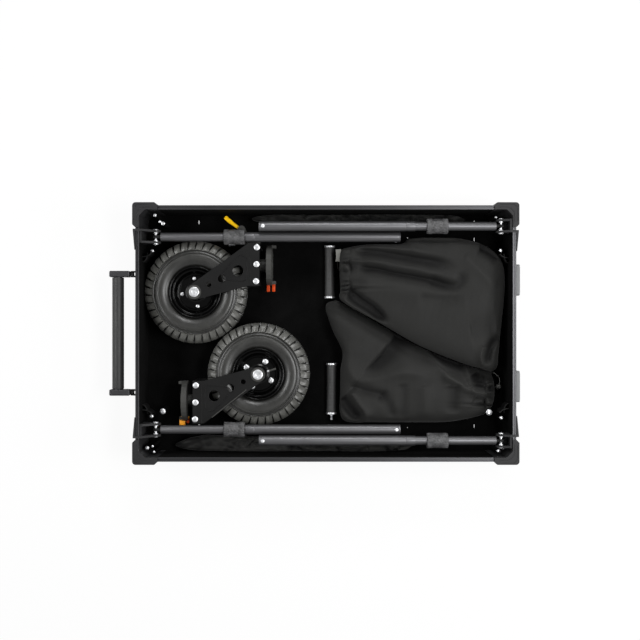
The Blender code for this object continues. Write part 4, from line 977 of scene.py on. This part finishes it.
class CART_OT_wheels(bpy.types.Operator):
    """Tyres with lugs, dished rims with bolts and a valve stem"""

    bl_idname = "cart.wheels"
    bl_label = "Wheels"

    def execute(self, context):
        for side, phase, stem, head in (("rear", 7.0, 33.0, 0.0046), ("front", 62.0, 17.0, 0.0074)):
            centre = centre_of(side + "_caster_tyre")
            # the tyre's attribute paints highlight on its lug faces and shade in its cuts, its groove and by
            # the bead
            paint_light(shell(side + "_tyre", [tyre(centre)], side + "_wheel", [side + "_caster_tyre"]),
                lambda x, y, z: self.painted_lug_light(x - centre[0], y - centre[1], z - centre[2]))
            parts = rim(centre, phase, head)
            a = math.radians(stem)
            out = np.array([math.cos(a), math.sin(a), 0.0])
            foot = centre + out * 0.0440 + (0, 0, 0.0125)
            tip = centre + out * 0.0270 + (0, 0, 0.0165)
            parts.append(swept(np.linspace(foot, tip, 4), [0.0034, 0.0030, 0.0026, 0.0026], "mount", 20))
            parts.append(swept([tip, tip - out * 0.005], 0.0029, "steel", 20))
            shell(side + "_rim", parts, side + "_wheel", [side + "_caster_rim"])
        return {"FINISHED"}

    def painted_lug_light(self, x, y, z):
        """Painted light on a tyre: lug faces painted paler than the sidewall as highlight; their cuts, the
        groove inside them and the sidewall by the bead painted darker as shade.
        """
        r = np.hypot(x, y)
        outward, phase, reach, cut = lug_cuts(np.arctan2(y, x), r, z)
        groove = np.exp(-((r - 0.1005) / 0.0035) ** 2) * (np.abs(z) > 0.015)
        inside = 1 - smooth_step(r, 0.064, 0.090)
        # painted highlight on the lug faces; painted shade in the cuts, in the groove and on the sidewall by
        # the bead
        pale = 1 + 2.5 * reach * (1 - cut) * (1 - 0.3 * outward) - 0.9 * cut - 0.4 * groove - 0.55 * inside
        streaks = np.sin(3 * phase + 40 * r) * np.sin(np.arctan2(y, x) * 11 + 90 * r)
        return np.clip(pale * (1 + 0.12 * streaks), 0.05, None)


# Places on a fork plate in mm, outwards from the hub: screws, holes with their radius, the outline of
# the raised pad and the line of the flange
FORK_SCREWS = ((153, 108.5), (152, 67.5), (151, 26))
FORK_HOLES = ((106.5, 51.6, 13.4), (67.1, 32.5, 9.7), (35.7, 17.3, 6.1))
FORK_PAD = ((123.5, 85), (128, 76), (128.5, 40), (124, 28.5), (112, 26.5), (90, 28), (70, 33.5), (69, 44),
            (85, 64), (103, 83), (114, 89))
FORK_FLANGE = ((28, 36.5), (56, 59), (85, 82.5), (112, 104))
# Height of the plate's outer face over the wheel's middle plane
FORK_TOP = 0.0475


class CART_OT_forks(bpy.types.Operator):
    """Screws, raised beads, flanges and hole rims on the caster forks, and the axle heads"""

    bl_idname = "cart.forks"
    bl_label = "Fork details"

    def execute(self, context):
        for side, turn in (("rear", 1.0), ("front", -1.0)):
            hub = centre_of(side + "_caster_tyre")
            parts = []
            for up in (1, -1):
                face = hub + (0, 0, up * FORK_TOP)
                for x, y in metres(FORK_SCREWS) * turn:
                    parts.append(dome(face + (x, y, 0), (0, 0, up), radius=0.0074, height=0.0034))
                for x, y, radius in metres(FORK_HOLES):
                    lip = softened([(radius - 0.0001, -0.003), (radius + 0.0018, -0.0004),
                                    (radius + 0.0012, 0.0007), (radius - 0.0002, 0.0002)], 0.0004,
                                   closed=True)
                    parts.append(turned(lip, face + (turn * x, turn * y, 0), (0, 0, up), "plate", 48,
                                        closed=True))
                pad = closed_curve(metres(FORK_PAD) * turn, 90)
                edge = np.linspace((0.1370, 0.0200), (0.1370, 0.1200), 12) * turn
                parts += [self.bead(pad, face, 0.0011, closed=True), self.bead(edge, face, 0.0009)]
                if side == "front":
                    # the flange takes the grey mounting-plate coat: a painted highlight along the edge of the
                    # black fork plate
                    parts.append(self.bead(metres(FORK_FLANGE) * turn, face, 0.0013, "mount"))
            shell(side + "_fork_details", parts, "tray")

            low, high = corners_of(side + "_caster_axle")
            half, head = (high[2] - low[2]) / 2, 0.0125
            upper = softened([(0.0059, half - 0.0043), (head, half - 0.0042), (head, half - 0.0010),
                              (head - 0.0016, half), (0.0060, half), (0.0052, half - 0.0020),
                              (0, half - 0.0020)], 0.0006)
            washer = softened([(head - 0.0005, half - 0.0043), (0.0170, half - 0.0043),
                               (0.0172, half - 0.0031), (head - 0.0005, half - 0.0031)], 0.0004, closed=True)
            hub = (low + high) / 2
            parts = [turned(np.concatenate([upper[::-1], upper * (1, -1)]), hub, (0, 0, 1), "steel", 64)]
            parts += [turned(washer, hub, (0, 0, up), "mount", 64, closed=True) for up in (1, -1)]
            shell(side + "_axle_bolt", parts, "tray", [side + "_caster_axle"])
        return {"FINISHED"}

    def bead(self, line, face, radius, coat="plate", closed=False):
        """A round bead along a flat line, half sunk in the face of the plate."""
        return swept(np.c_[line, np.zeros(len(line))] + face, radius, coat, 12, closed)


class CART_OT_brake(bpy.types.Operator):
    """Foot brake lever on its hub, and the return spring on its bolt"""

    bl_idname = "cart.brake"
    bl_label = "Brake"

    def execute(self, context):
        low, high = corners_of("brake_lever")
        middle = (low[2] + high[2]) / 2
        # the lever's pivot, outwards from the wheel's centre, and from there the way to its pedal end
        pivot = centre_of("rear_caster_tyre")[:2] + (0.1130, 0.1550)
        reach = np.array((-0.0414, 0.0312))
        unit = reach / np.linalg.norm(reach)
        across = np.array((-unit[1], unit[0]))
        t = np.linspace(0, 1, 9)[:, None]
        spine = pivot + reach * t + across * 0.0012 * np.sin(t * math.pi)
        half = 0.0040 + 0.0012 * smooth_step(t, 0.45, 0.7)
        outline = np.concatenate([spine + across * half, (spine - across * half)[::-1]])
        parts = [slab(softened(outline, 0.0030, closed=True), low[2] + 0.006, high[2], 0.0016, "lever")]
        hub = softened([(0.00255, -0.0131), (0.0064, -0.0131), (0.0064, 0.0131), (0.00255, 0.0131)], 0.0006,
                       closed=True)
        parts.append(turned(hub, (*pivot, middle), (0, 0, 1), "lever", 40, closed=True))
        shell("yellow_brake_lever", parts, "brake_pedal", ["brake_lever"])

        # return spring on a bolt: the radius swells once for each coil
        low, high = corners_of("brake_bracket")
        run_length, pitch = 0.0110, 0.0022
        run = np.linspace(0, run_length, 72)
        coils = np.c_[0.0046 + 0.0009 * np.abs(np.sin(run / pitch * math.pi)), run]
        profile = [(0, -0.0010), (0.0058, -0.0010), (0.0058, 0), *coils, (0.0062, run_length),
                   (0.0062, 0.0140), (0.0030, 0.0142), (0.0030, 0.0165), (0, 0.0168)]
        seat = (low[0], low[1] + 0.0012, (low[2] + high[2]) / 2)
        shell("brake_spring", [turned(profile, seat, (-1, 0, 0), "steel", 32)], "tray")
        return {"FINISHED"}


class CART_OT_tabs(bpy.types.Operator):
    """Two-pronged orange release tabs on the swivel plates"""

    bl_idname = "cart.tabs"
    bl_label = "Release tabs"

    def execute(self, context):
        # how far a swivel plate's hook lip stands out of its face
        hook_lip = 0.010
        for side in ("rear", "front"):
            low, high = corners_of(side + "_caster_release_tab")
            inner, tip = high[1], low[1]
            reach = tip - inner
            width = high[0] - low[0]
            root = inner + reach * 0.30
            # the front tab's root and first prong take the lighter copy of the orange, a painted highlight
            parts = [block((low[0], inner, low[2]), (high[0], root, high[2] - 0.001), 0.002, 0.0008,
                           "mount" if side == "rear" else "amber")]
            # where each prong starts and ends across the tab, as shares of its width
            prongs = ((0.05, 0.38), (0.60, 0.93)) if side == "rear" else ((0.0, 0.60), (0.76, 1.0))
            for k, (a, b) in enumerate(prongs):
                end = tip if side == "rear" or k == 0 else tip - reach * 0.35
                coat = "tab" if side == "rear" or k == 1 else "amber"
                parts.append(block((low[0] + a * width, root - reach * 0.1, low[2]),
                                   (low[0] + b * width, end, high[2]), 0.0022, 0.0012, coat))
            shell(side + "_tab", parts, side + "_release",
                  [side + "_caster_release_tab"])

            # the plate's outer face: a pressed bead, four screws and the kingpin's riveted head
            low, high = corners_of(side + "_caster_swivel_plate")
            facing = (1.0, 0, 0) if side == "rear" else (-1.0, 0, 0)
            outer = high[0] - hook_lip if side == "rear" else low[0] + hook_lip
            face = np.array([outer, (low[1] + high[1]) / 2, (low[2] + high[2]) / 2])
            bead = softened([(0.0225, -0.0004), (0.0235, 0.0009), (0.0265, 0.0009), (0.0275, -0.0004)],
                            0.0006, closed=True)
            parts = [turned(bead, face, facing, "mount", 96, closed=True),
                     dome(face, facing, radius=0.0095, height=0.0022, coat="mount")]
            circle = 0.0375
            for k in range(4):
                a = math.radians(45) + k * TAU / 4
                seat = face + (0, circle * math.cos(a), circle * math.sin(a))
                parts.append(screw(seat, facing, radius=0.0050, height=0.0012, coat="mount"))
            shell(side + "_swivel_details", parts, side + "_swivel")
        return {"FINISHED"}


class CART_OT_grips(bpy.types.Operator):
    """Ribbed hand grips with knurled steel rings, and the carrying handle's grip"""

    bl_idname = "cart.grips"
    bl_label = "Grips"

    def execute(self, context):
        along = (0, 1, 0)
        for side in ("rear", "front"):
            low, high = corners_of(side + "_hand_grip")
            radius = (high[0] - low[0]) / 2
            centre = (low + high) / 2 * (1, 0, 1)
            stud = 0.014 if side == "front" else 0.0
            start, end = low[1] + stud, high[1]
            ring = 0.0055
            t = np.linspace(0, 1, 60)
            body_r = radius * (0.90 - 0.03 * np.sin(t * math.pi)) - 0.0005 * (np.sin(t * TAU * 15) > 0.2)
            body = np.c_[body_r, start + ring + t * (end - start - 2 * ring)]
            parts = [turned([(0, body[0, 1]), *body, (0, body[-1, 1])], centre, along, "grip", 48)]
            for a, b in ((start, start + ring - 0.0003), (end - ring + 0.0003, end)):
                profile = softened([(0, a), (radius, a), (radius, b), (0, b)], 0.0008)
                points, faces, coat = turned(profile, (0, 0, 0), along, "steel", 96)
                angle = np.arctan2(points[:, 0], points[:, 2])
                factor = 1 - 0.03 * (np.cos(angle * 24) > 0)
                parts.append((points * np.c_[factor, np.ones(len(points)), factor] + centre, faces, coat))
            if stud:
                y = np.linspace(low[1], start, 60)
                pitch = 0.00125
                thread = 0.0036 + 0.0004 * np.cos((y - start) / pitch * TAU)
                parts.append(turned([(0, y[0]), *np.c_[thread, y], (0, y[-1])], centre, along, "steel", 32))
            shell(side + "_grip", parts, side + "_grip", [side + "_hand_grip"])

        low, high = corners_of("handle_grip")
        centre = (low + high) / 2
        bore, radius, half = 0.0109, (high[0] - low[0]) / 2, (high[1] - low[1]) / 2
        profile = softened([(bore, -half), (radius, -half), (radius, half), (bore, half)], 0.0016,
                           closed=True)
        shell("foam_handle_grip", [turned(profile, centre, along, "handle", SIDES, closed=True)],
              "handle", ["handle_grip"])
        return {"FINISHED"}


# Outlines of the bags and their folds, in mm. A fold has its height, its half width to the left and
# right of its line, its sharpness (2 is a rounded bell, 1 a crease) and the line itself.
REAR_BAG = ((36, 196), (62, 212), (110, 218.5), (184, 219.5), (206, 232), (262, 235), (335, 232), (395, 214),
            (432, 180), (441, 130), (438, 70), (431, 10), (426, -45), (418, -89), (375, -82), (330, -68),
            (231, -27), (133, 29), (42, 81), (36, 110))
FRONT_BAG = ((0, 66), (20, 80), (40, 75.5), (131, 24), (229, -32), (328, -73), (372, -87), (412, -99),
             (419, -140), (412, -182), (384, -204), (305, -219.5), (210, -221), (120, -221), (56, -220),
             (36, -200), (36, -145), (37, -90), (41, -45), (16, 10))
REAR_FOLDS = (
    (5, 12, 10, 2, ((66, 214), (120, 212), (190, 205), (262, 190))),
    (-12, 11, 17, 2, ((66, 206), (120, 200), (173, 191), (242, 179), (294, 168), (320, 150))),
    (4, 12, 10, 2, ((90, 176), (140, 172), (190, 163), (260, 152))),
    (-13, 8, 13, 1.7, ((78, 162), (127, 157), (162, 148), (225, 137), (277, 126), (318, 112))),
    (-7, 12, 12, 2, ((250, 130), (300, 116), (326, 122), (334, 146), (330, 158))),
    (5, 20, 30, 2, ((80, 126), (150, 120), (230, 104), (290, 85))),
    (-4, 12, 18, 2, ((225, 87), (277, 81), (340, 83))),
    (-25, 6, 18, 1.8, ((56, 106), (70, 98), (89, 83), (117, 64), (140, 40), (146, 22))),
    (14, 9, 7, 2, ((40, 84), (52, 70), (70, 57), (95, 42), (122, 26), (160, 10))),
    (4, 14, 14, 1.5, ((336, 191), (364, 163), (392, 135), (416, 107))),
    (-22, 26, 20, 2, ((378, 222), (416, 205), (440, 185))),
    (6, 7, 7, 1.5, ((387, -30), (378, -58), (388, -90))),
    (-10, 8, 14, 2, ((434, -12), (408, -30), (398, -60), (402, -80))),
    (-4, 30, 30, 2, ((350, 10), (420, 20))),
)
FRONT_FOLDS = (
    (7, 26, 15, 1.6, ((45, -20), (52, -70), (65, -101), (82, -115), (120, -110), (162, -100), (204, -96),
                      (260, -110))),
    (-15, 38, 5, 1.7, ((215, 40), (185, 4), (160, -26), (140, -52), (118, -76), (88, -106))),
    (8, 8, 10, 1.5, ((225, -28), (256, -52), (277, -77), (302, -104), (320, -115))),
    (-16, 12, 13, 2, ((262, -40), (290, -66), (318, -78), (352, -86))),
    (7, 8, 10, 1.7, ((284, -101), (315, -115), (347, -136), (371, -147), (412, -150))),
    (-12, 15, 15, 2, ((366, -98), (376, -118), (396, -130))),
    (7, 5, 5, 1.6, ((349, -80), (349, -112), (362, -141), (392, -146), (410, -140))),
    (-7, 10, 12, 2, ((60, -125), (75, -133), (113, -145), (160, -152))),
    (7, 16, 8, 1.8, ((60, -140), (82, -174), (96, -195), (108, -222))),
    (-18, 14, 12, 2, ((36, -160), (48, -175), (66, -195), (86, -216))),
    (-5, 12, 12, 2, ((130, -150), (150, -170), (170, -212))),
    (-7, 14, 18, 2, ((312, -126), (315, -150), (312, -200))),
    (-4, 12, 12, 2, ((186, -122), (190, -150), (186, -220))),
    (4, 16, 16, 2, ((240, -125), (245, -150), (245, -215))),
    (-5, 14, 14, 2, ((360, -160), (390, -175), (405, -195))),
)
# Factor on the heights of all folds, and the height in metres that a bag's folds never pass together
FOLD_STRENGTH, DEEPEST = 1.4, 0.022
# Where the front bag lies under the other one: line, width of the tuck, and its share of the height
FRONT_TUCK = (((0, 78), (42, 72), (85, 48), (133, 20), (229, -34), (328, -75), (372, -89), (418, -101)),
              0.022, 0.42)


def line_distance(x, y, line):
    """Distance from each point to a bent line, its side (1 is left) and the share of the line passed."""
    line = open_curve(metres(line), 4)
    best = np.full(x.shape, np.inf)
    sign = np.ones(x.shape)
    share = np.zeros(x.shape)
    runs = np.linalg.norm(np.diff(line, axis=0), axis=1)
    passed = np.concatenate([[0], np.cumsum(runs)]) / runs.sum()
    for a, b, s, e in zip(line[:-1], line[1:], passed[:-1], passed[1:]):
        run = b - a
        t = np.clip(((x - a[0]) * run[0] + (y - a[1]) * run[1]) / (run @ run), 0, 1)
        dx, dy = x - a[0] - t * run[0], y - a[1] - t * run[1]
        distance = np.hypot(dx, dy)
        nearer = distance < best
        best = np.where(nearer, distance, best)
        sign = np.where(nearer, np.sign(run[0] * dy - run[1] * dx + 1e-12), sign)
        share = np.where(nearer, s + t * (e - s), share)
    return best, sign, share


def folds(x, y, lines):
    """Height of all folds: each falls off from its line as exp(-(distance / half width) ** sharpness).

    A fold fades in over the first tenth of its line and out over the last quarter.
    """
    total = np.zeros_like(x)
    for height, left, right, sharp, line in lines:
        distance, sign, share = line_distance(x, y, line)
        width = np.where(sign > 0, left, right) / 1000
        fade = smooth_step(share, -0.02, 0.12) * (1 - 0.9 * smooth_step(share, 0.74, 1.0))
        total += height / 1000 * fade * np.exp(-(distance / width) ** sharp)
    return FOLD_STRENGTH * total


def painted_fold_light(height, deepest):
    """Painted light on cloth: 1 where it is level, painted shade down to 0.12 in its folds and painted
    highlight up to 1.5 on crests.
    """
    return 1 - 0.88 * smooth_step(-height, 0.0, deepest) + 0.5 * smooth_step(height, 0.0, deepest)


def gathers(x, y, start, end, inward, pleats, seed):
    """Pleats of a drawn mouth: waves along the line from start to end, deepest in a hem beside it.

    A groove where the cord runs parts the ruffled hem from longer pleats, which fade into the bag.
    """
    a, run = np.array(start), np.array(end) - np.array(start)
    reach = np.linalg.norm(run)
    along = ((x - a[0]) * run[0] + (y - a[1]) * run[1]) / reach ** 2
    depth = (x - a[0]) * inward[0] + (y - a[1]) * inward[1]
    within = smooth_step(along, -0.06, 0.06) * (1 - smooth_step(along, 0.94, 1.06))
    draw = np.random.default_rng(seed)
    wander = sum(draw.uniform(0.8, 1.9) * np.sin(TAU * along * k + draw.uniform(0, TAU)) for k in (1, 2, 3))
    uneven = 0.65 + 0.6 * np.sin(TAU * along * 2.3 + draw.uniform(0, TAU))
    slant = 90 * np.sin(TAU * along * 1.4 + draw.uniform(0, TAU))
    wave = np.sin(TAU * along * pleats + wander + slant * depth)
    hem_at, groove_at, pleats_at = 0.008, 0.0215, 0.024
    hem = np.exp(-((depth - hem_at) / 0.009) ** 2)
    groove = np.exp(-((depth - groove_at - 0.002 * np.sin(TAU * along * 3)) / 0.0035) ** 2)
    pleat = np.exp(-np.maximum(depth - pleats_at, 0) / 0.030) * smooth_step(depth, 0.018, 0.030)
    return within * (0.0110 * wave * uneven * hem - 0.0060 * groove * uneven
                     + 0.0050 * uneven * np.sin(TAU * along * pleats / 2 + wander) * pleat)


def stuffed_bag(outline, floor, waist, top, lines, mouth, seed, lean=0.0, heading=(0.0, 0.0), tuck=None):
    """A stuffed bag: its outline is drawn in towards the middle as the height goes up and down.

    The share of the outline runs from 1 at the waist to 0 at the middle of the top, closest together
    at the rim, and the height between waist and top is (1 - share^5)^(1/2): full sides, a round
    shoulder and a nearly flat top. Folds, pleats and uneven waves then move the upper half. The side
    that faces the heading leans out by that much above the waist. Along the line of the tuck, the bag
    under another one, its height sinks by the tuck's share.
    """
    columns, rows = 560, 130
    ring = closed_curve(metres(outline), columns)
    middle = ring.mean(axis=0)
    upper = 1 - np.linspace(0, 1, rows)[:, None] ** 2
    lower = 1 - np.linspace(1, 0, 16)[:-1, None] ** 2
    share = np.concatenate([lower, upper])
    rise = np.concatenate([-(1 - lower ** 14) ** 0.5, (1 - upper ** 5) ** 0.5])
    x, y = (middle[k] + (ring[None, :, k] - middle[k]) * share for k in (0, 1))
    up = np.maximum(rise, 0)
    along = directions(ring, closed=True)
    facing = along[:, 1] * heading[0] - along[:, 0] * heading[1]
    facing *= np.sign(np.sum(ring[:, 0] * along[:, 1] - ring[:, 1] * along[:, 0]))
    push = lean * smooth_step(facing, 0.6, 0.95)[None, :] * smooth_step(up, 0.02, 0.30) * share ** 4
    x, y = x + heading[0] * push, y + heading[1] * push
    z = waist + (top - waist) * up + (waist - floor) * np.minimum(rise, 0)
    z = np.broadcast_to(z, x.shape)
    move = folds(x, y, lines) + gathers(x, y, *mouth, seed)
    waves = 0.0030 * ripple(x, y, seed, 2, 16.0) + 0.0006 * ripple(x, y, seed + 1, 3, 90.0)
    move = DEEPEST * np.tanh(move / DEEPEST) + waves
    z = z + move * smooth_step(up, 0.15, 0.75)
    if tuck:
        line, width, sunk = tuck
        z = floor + (z - floor) * (1 - sunk * np.exp(-(line_distance(x, y, line)[0] / width) ** 2))
    z = np.maximum(z, floor)
    points = np.stack([x, y, z], axis=-1)
    points[0], points[-1] = points[0].mean(axis=0), points[-1].mean(axis=0)
    return patch(points, False, True, "cloth")


# Pouches along the rails, in mm: place along the rail, inner edge and outer edge
REAR_POUCH = ((-185, 279, 293), (-150, 274.5, 295.5), (-100, 269, 296), (10, 270, 296.2), (120, 265, 296.3),
              (230, 267, 296.2), (300, 260, 296.1), (330, 264, 295.5), (350, 278, 290))
FRONT_POUCH = ((-378, -273, -289), (-340, -262, -295), (-300, -256.5, -295.6), (-200, -259, -296.2),
               (-90, -261, -296.3), (20, -260, -296.3), (120, -264, -296.3), (200, -266, -295.5),
               (220, -272, -290))


def clear_of(part, node, gap):
    """Press a piece away from a tube along X that slides past it, to the tube's radius and the gap.

    The distance d from the tube's axis becomes the smooth maximum of d and that reach R,
    (d + R + ((d - R)^2 + k^2)^(1/2)) / 2, so that the dent runs out softly.
    """
    points, faces, coat = part
    low, high = corners_of(node)
    axis = (low[1:] + high[1:]) / 2
    reach = (high[1] - low[1]) / 2 + gap
    away = points[:, 1:] - axis
    distance = np.maximum(np.linalg.norm(away, axis=1, keepdims=True), 1e-6)
    eased = (distance + reach + np.sqrt((distance - reach) ** 2 + 0.002 ** 2)) / 2
    pressed = points.copy()
    pressed[:, 1:] = axis + away / distance * eased
    return pressed, faces, coat


def crumple(x, y, seed, stations):
    """Crushed cloth: creases along random lines, each a fold 1 - |d| / w across and faded along itself."""
    draw = np.random.default_rng(seed)
    total = np.zeros_like(x)
    low = stations[:, 0].min(), stations[:, 1:].min()
    high = stations[:, 0].max(), stations[:, 1:].max()
    for _ in range(120):
        at = draw.uniform(low, high)
        heading = draw.normal(0, 0.45)
        half, width = draw.uniform(0.015, 0.070), draw.uniform(0.0035, 0.0110)
        dx, dy = x - at[0], y - at[1]
        t = dx * math.cos(heading) + dy * math.sin(heading)
        d = -dx * math.sin(heading) + dy * math.cos(heading) + 0.004 * np.sin(t * 60 + at[0] * 900)
        total += draw.choice((-1, 1)) * np.maximum(1 - np.abs(d) / width, 0) * np.exp(-(t / half) ** 2)
    return total


def folded_pouch(stations, floor, top, seed, plain_end):
    """An empty pouch lying on its folded edge: between inner and outer edge, its section is a superellipse.

    The cosine and sine of the angle round it are raised to 0.55, creases move the upper half, and the
    height swells and sinks along its length. plain_end is how far its first end stays smooth.
    """
    t = 1 - np.cos(np.linspace(0, math.pi, 420))[:, None]
    x = stations[0, 0] + t / 2 * (stations[-1, 0] - stations[0, 0])
    inner = np.interp(x, stations[:, 0], stations[:, 1])
    outer = np.interp(x, stations[:, 0], stations[:, 2])
    s = np.linspace(0, TAU, 96, endpoint=False)[None, :]
    c, d = np.cos(s), np.sin(s)
    full = np.sqrt(np.clip(1 - np.abs(t - 1) ** 14, 0, 1))
    y = (inner + outer) / 2 + (outer - inner) / 2 * np.sign(c) * np.abs(c) ** 0.55 * full
    height = (top - floor) * (0.88 + 0.10 * np.sin(x * 23 + seed))
    z = floor + height / 2 + height / 2 * np.sign(d) * np.abs(d) ** 0.55 * full
    x = np.broadcast_to(x, y.shape)
    creased = smooth_step(x, stations[0, 0] + plain_end, stations[0, 0] + plain_end + 0.08)
    crushed = 0.0070 * np.tanh(0.9 * crumple(x, y, seed, stations)) * creased
    z = z + (crushed + 0.002 * ripple(x, y, seed, 2, 40.0)) * smooth_step(d, 0.1, 0.7) * full
    return patch(np.stack([x, y, np.maximum(z, floor)], axis=-1), False, True, "cloth")


class CART_OT_feet(bpy.types.Operator):
    """Stand-up feet on the right end: a dark backing, a grey moulded body and its ribbed sole"""

    bl_idname = "cart.feet"
    bl_label = "Feet"

    def execute(self, context):
        for side in ("front", "rear"):
            node = "end_foot_" + side
            low, high = corners_of(node)
            body, sole, inset = low[0] + 0.0042, high[0] - 0.0016, 0.0015
            parts = [block((low[0], low[1] + inset, low[2] + inset),
                           (body + 0.0006, high[1] - inset, high[2] - inset), 0.004, 0.0006, "plate", axis=0),
                     block((body, low[1], low[2]), (sole, high[1], high[2]), 0.005, 0.0016, "foot", axis=0)]
            # seven ribs across the sole, the middle one parted by the screw
            for k in range(7):
                z = low[2] + (high[2] - low[2]) * (0.12 + 0.127 * k)
                a, b = low[1] + 0.006, high[1] - 0.006
                ends = ((a, low[1] + 0.022), (high[1] - 0.022, b)) if k == 3 else ((a, b),)
                for start, end in ends:
                    parts.append(block((sole - 0.0006, start, z - 0.0019), (high[0], end, z + 0.0019), 0.0018,
                                       0.0007, "foot", axis=0))
            middle = (low + high) / 2
            parts.append(screw((sole - 0.0004, middle[1], middle[2]), (1, 0, 0), radius=0.0056,
                               height=0.0018))
            shell(side + "_foot", parts, "tray", [node])
        return {"FINISHED"}


class CART_OT_bags(bpy.types.Operator):
    """Two stuffed drawstring bags and two folded pouches of coated nylon"""

    bl_idname = "cart.bags"
    bl_label = "Bags"

    def execute(self, context):
        rear_mouth = ((0.038, 0.205), (0.038, 0.085), (1, 0), 9)
        front_mouth = ((0.414, -0.105), (0.410, -0.190), (-1, 0), 7)
        rear_shape = stuffed_bag(REAR_BAG, CARPET_TOP, waist=0.086, top=0.118, lines=REAR_FOLDS,
                                 mouth=rear_mouth, seed=3, lean=0.006, heading=(-0.45, -0.89))
        front_shape = stuffed_bag(FRONT_BAG, CARPET_TOP, waist=0.070, top=0.108, lines=FRONT_FOLDS,
                                  mouth=front_mouth, seed=8, tuck=FRONT_TUCK)
        rear = shell("rear_bag_cloth",
                     [clear_of(rear_shape, "post_sleeve_rear_left", gap=0.0025), self.tag(),
                      self.hem((*REAR_CORD_ROUTE[0], CORD_REST), (0.075, 0.158, 0.046))],
                     "rear_bag", ["rear_drawstring_bag"])
        front = shell("front_bag_cloth",
                      [front_shape,
                       self.hem((*FRONT_CORD_ROUTE[0], CORD_REST + TOGGLE_RADIUS), (0.380, -0.098, 0.050))],
                      "front_bag", ["front_drawstring_bag"])
        for piece, lines, mouth, seed in ((rear, REAR_FOLDS, rear_mouth, 3),
                                          (front, FRONT_FOLDS, front_mouth, 8)):
            # painted shade in the folds and pleats of the bags, painted highlight on their crests
            paint_light(piece, lambda x, y, z: painted_fold_light(folds(x, y, lines) + 2.0 * gathers(x, y, *mouth, seed), 0.016))
        for side, stations, seed, plain_end in (("rear", metres(REAR_POUCH), 11, 0.0),
                                                ("front", metres(FRONT_POUCH), 12, 0.10)):
            shape = folded_pouch(stations, CARPET_TOP + 0.0006, 0.0640, seed, plain_end)
            piece = shell(side + "_pouch_cloth", [shape], "tray", [side + "_folded_pouch"])
            # painted shade in the creases of the pouches, painted highlight on their ridges
            paint_light(piece, lambda x, y, z: painted_fold_light(0.012 * crumple(x, y, seed, stations), 0.015))
        return {"FINISHED"}

    def hem(self, outlet, inside):
        """The end of the mouth's hem: a cone that narrows from inside the bag to where its cord leaves."""
        outlet, inside = np.array(outlet), np.array(inside)
        t = np.linspace(0, 1, 12)[:, None]
        path = inside + (outlet - inside) * t + np.array((0, 0, 0.010)) * np.sin(t * math.pi)
        path[-1, 2] = max(outlet[2], CARPET_TOP + 0.0024)
        return swept(path, 0.0100 - 0.0076 * t[:, 0] ** 0.7, "cloth", 20)

    def tag(self):
        """A folded webbing tag sewn into the mouth: a strip that droops towards its free end."""
        t = np.linspace(0, 1, 12)[:, None]
        s = np.linspace(0, 1, 24, endpoint=False)[None, :]
        middle = 0.0310
        across, up = np.cos(TAU * s), np.sin(TAU * s)
        x = middle + np.sign(across) * np.abs(across) ** 0.4 * 0.0065 + 0.0012 * np.sin(t * 3)
        y = 0.1780 + 0.0290 * t
        z = 0.0760 - 0.010 * (1 - t) ** 2 + up * 0.0009 + (x - middle) * 0.9
        points = np.stack(np.broadcast_arrays(x, y, z), axis=-1)
        start, end = (np.repeat(points[i].mean(axis=0)[None, None], 24, 1) for i in (0, -1))
        return patch(np.concatenate([start, points, end]), False, True, "tag")


class CART_OT_coats(bpy.types.Operator):
    """Finishes of the frame's own parts that stay in view"""

    bl_idname = "cart.coats"
    bl_label = "Coats"

    def execute(self, context):
        coats = {"floor_panel": "panel", "floor_carpet": "carpet", "brake_bracket": "mount",
                 "handle_frame": "rail_y", "handle_hinge_front": "plate", "handle_hinge_rear": "plate"}
        for corner in CORNERS:
            coats["corner_casting_" + corner] = "casting"
            coats["pivot_bracket_" + corner] = "casting"
        for side in ("rear", "front"):
            coats[side + "_caster_fork"] = "plate"
            coats[side + "_caster_swivel_plate"] = "mount"
        for name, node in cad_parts.items():
            if node.hide_render:
                continue
            surface = material(coats[name])
            for slot in node.material_slots:
                slot.material = surface
        return {"FINISHED"}


STEPS = (CART_OT_stage, CART_OT_cords, CART_OT_rails, CART_OT_castings, CART_OT_posts, CART_OT_wheels,
         CART_OT_forks, CART_OT_brake, CART_OT_tabs, CART_OT_grips, CART_OT_feet,
         CART_OT_bags, CART_OT_coats)


class CART_PT_pieces(bpy.types.Panel):
    """Pieces, sizes and colours of the cart"""

    bl_idname = "CART_PT_pieces"
    bl_label = "Workstation Cart"
    bl_space_type = "VIEW_3D"
    bl_region_type = "UI"
    bl_category = "Cart"

    def draw(self, context):
        for step in STEPS:
            self.layout.operator(step.bl_idname)
        for group in (sizes(), colours()):
            for name in group.__annotations__:
                self.layout.prop(group, name)


CLASSES = (CartColours, CartSizes, *STEPS, CART_PT_pieces)


def register():
    for cls in CLASSES:
        bpy.utils.register_class(cls)
    bpy.types.Scene.cart_colours = bpy.props.PointerProperty(type=CartColours)
    bpy.types.Scene.cart_sizes = bpy.props.PointerProperty(type=CartSizes)


def unregister():
    del bpy.types.Scene.cart_sizes
    del bpy.types.Scene.cart_colours
    for cls in reversed(CLASSES):
        bpy.utils.unregister_class(cls)


def main():
    register()
    for step in STEPS:
        group, name = step.bl_idname.split(".")
        getattr(getattr(bpy.ops, group), name)()


if __name__ == "__main__":
    main()
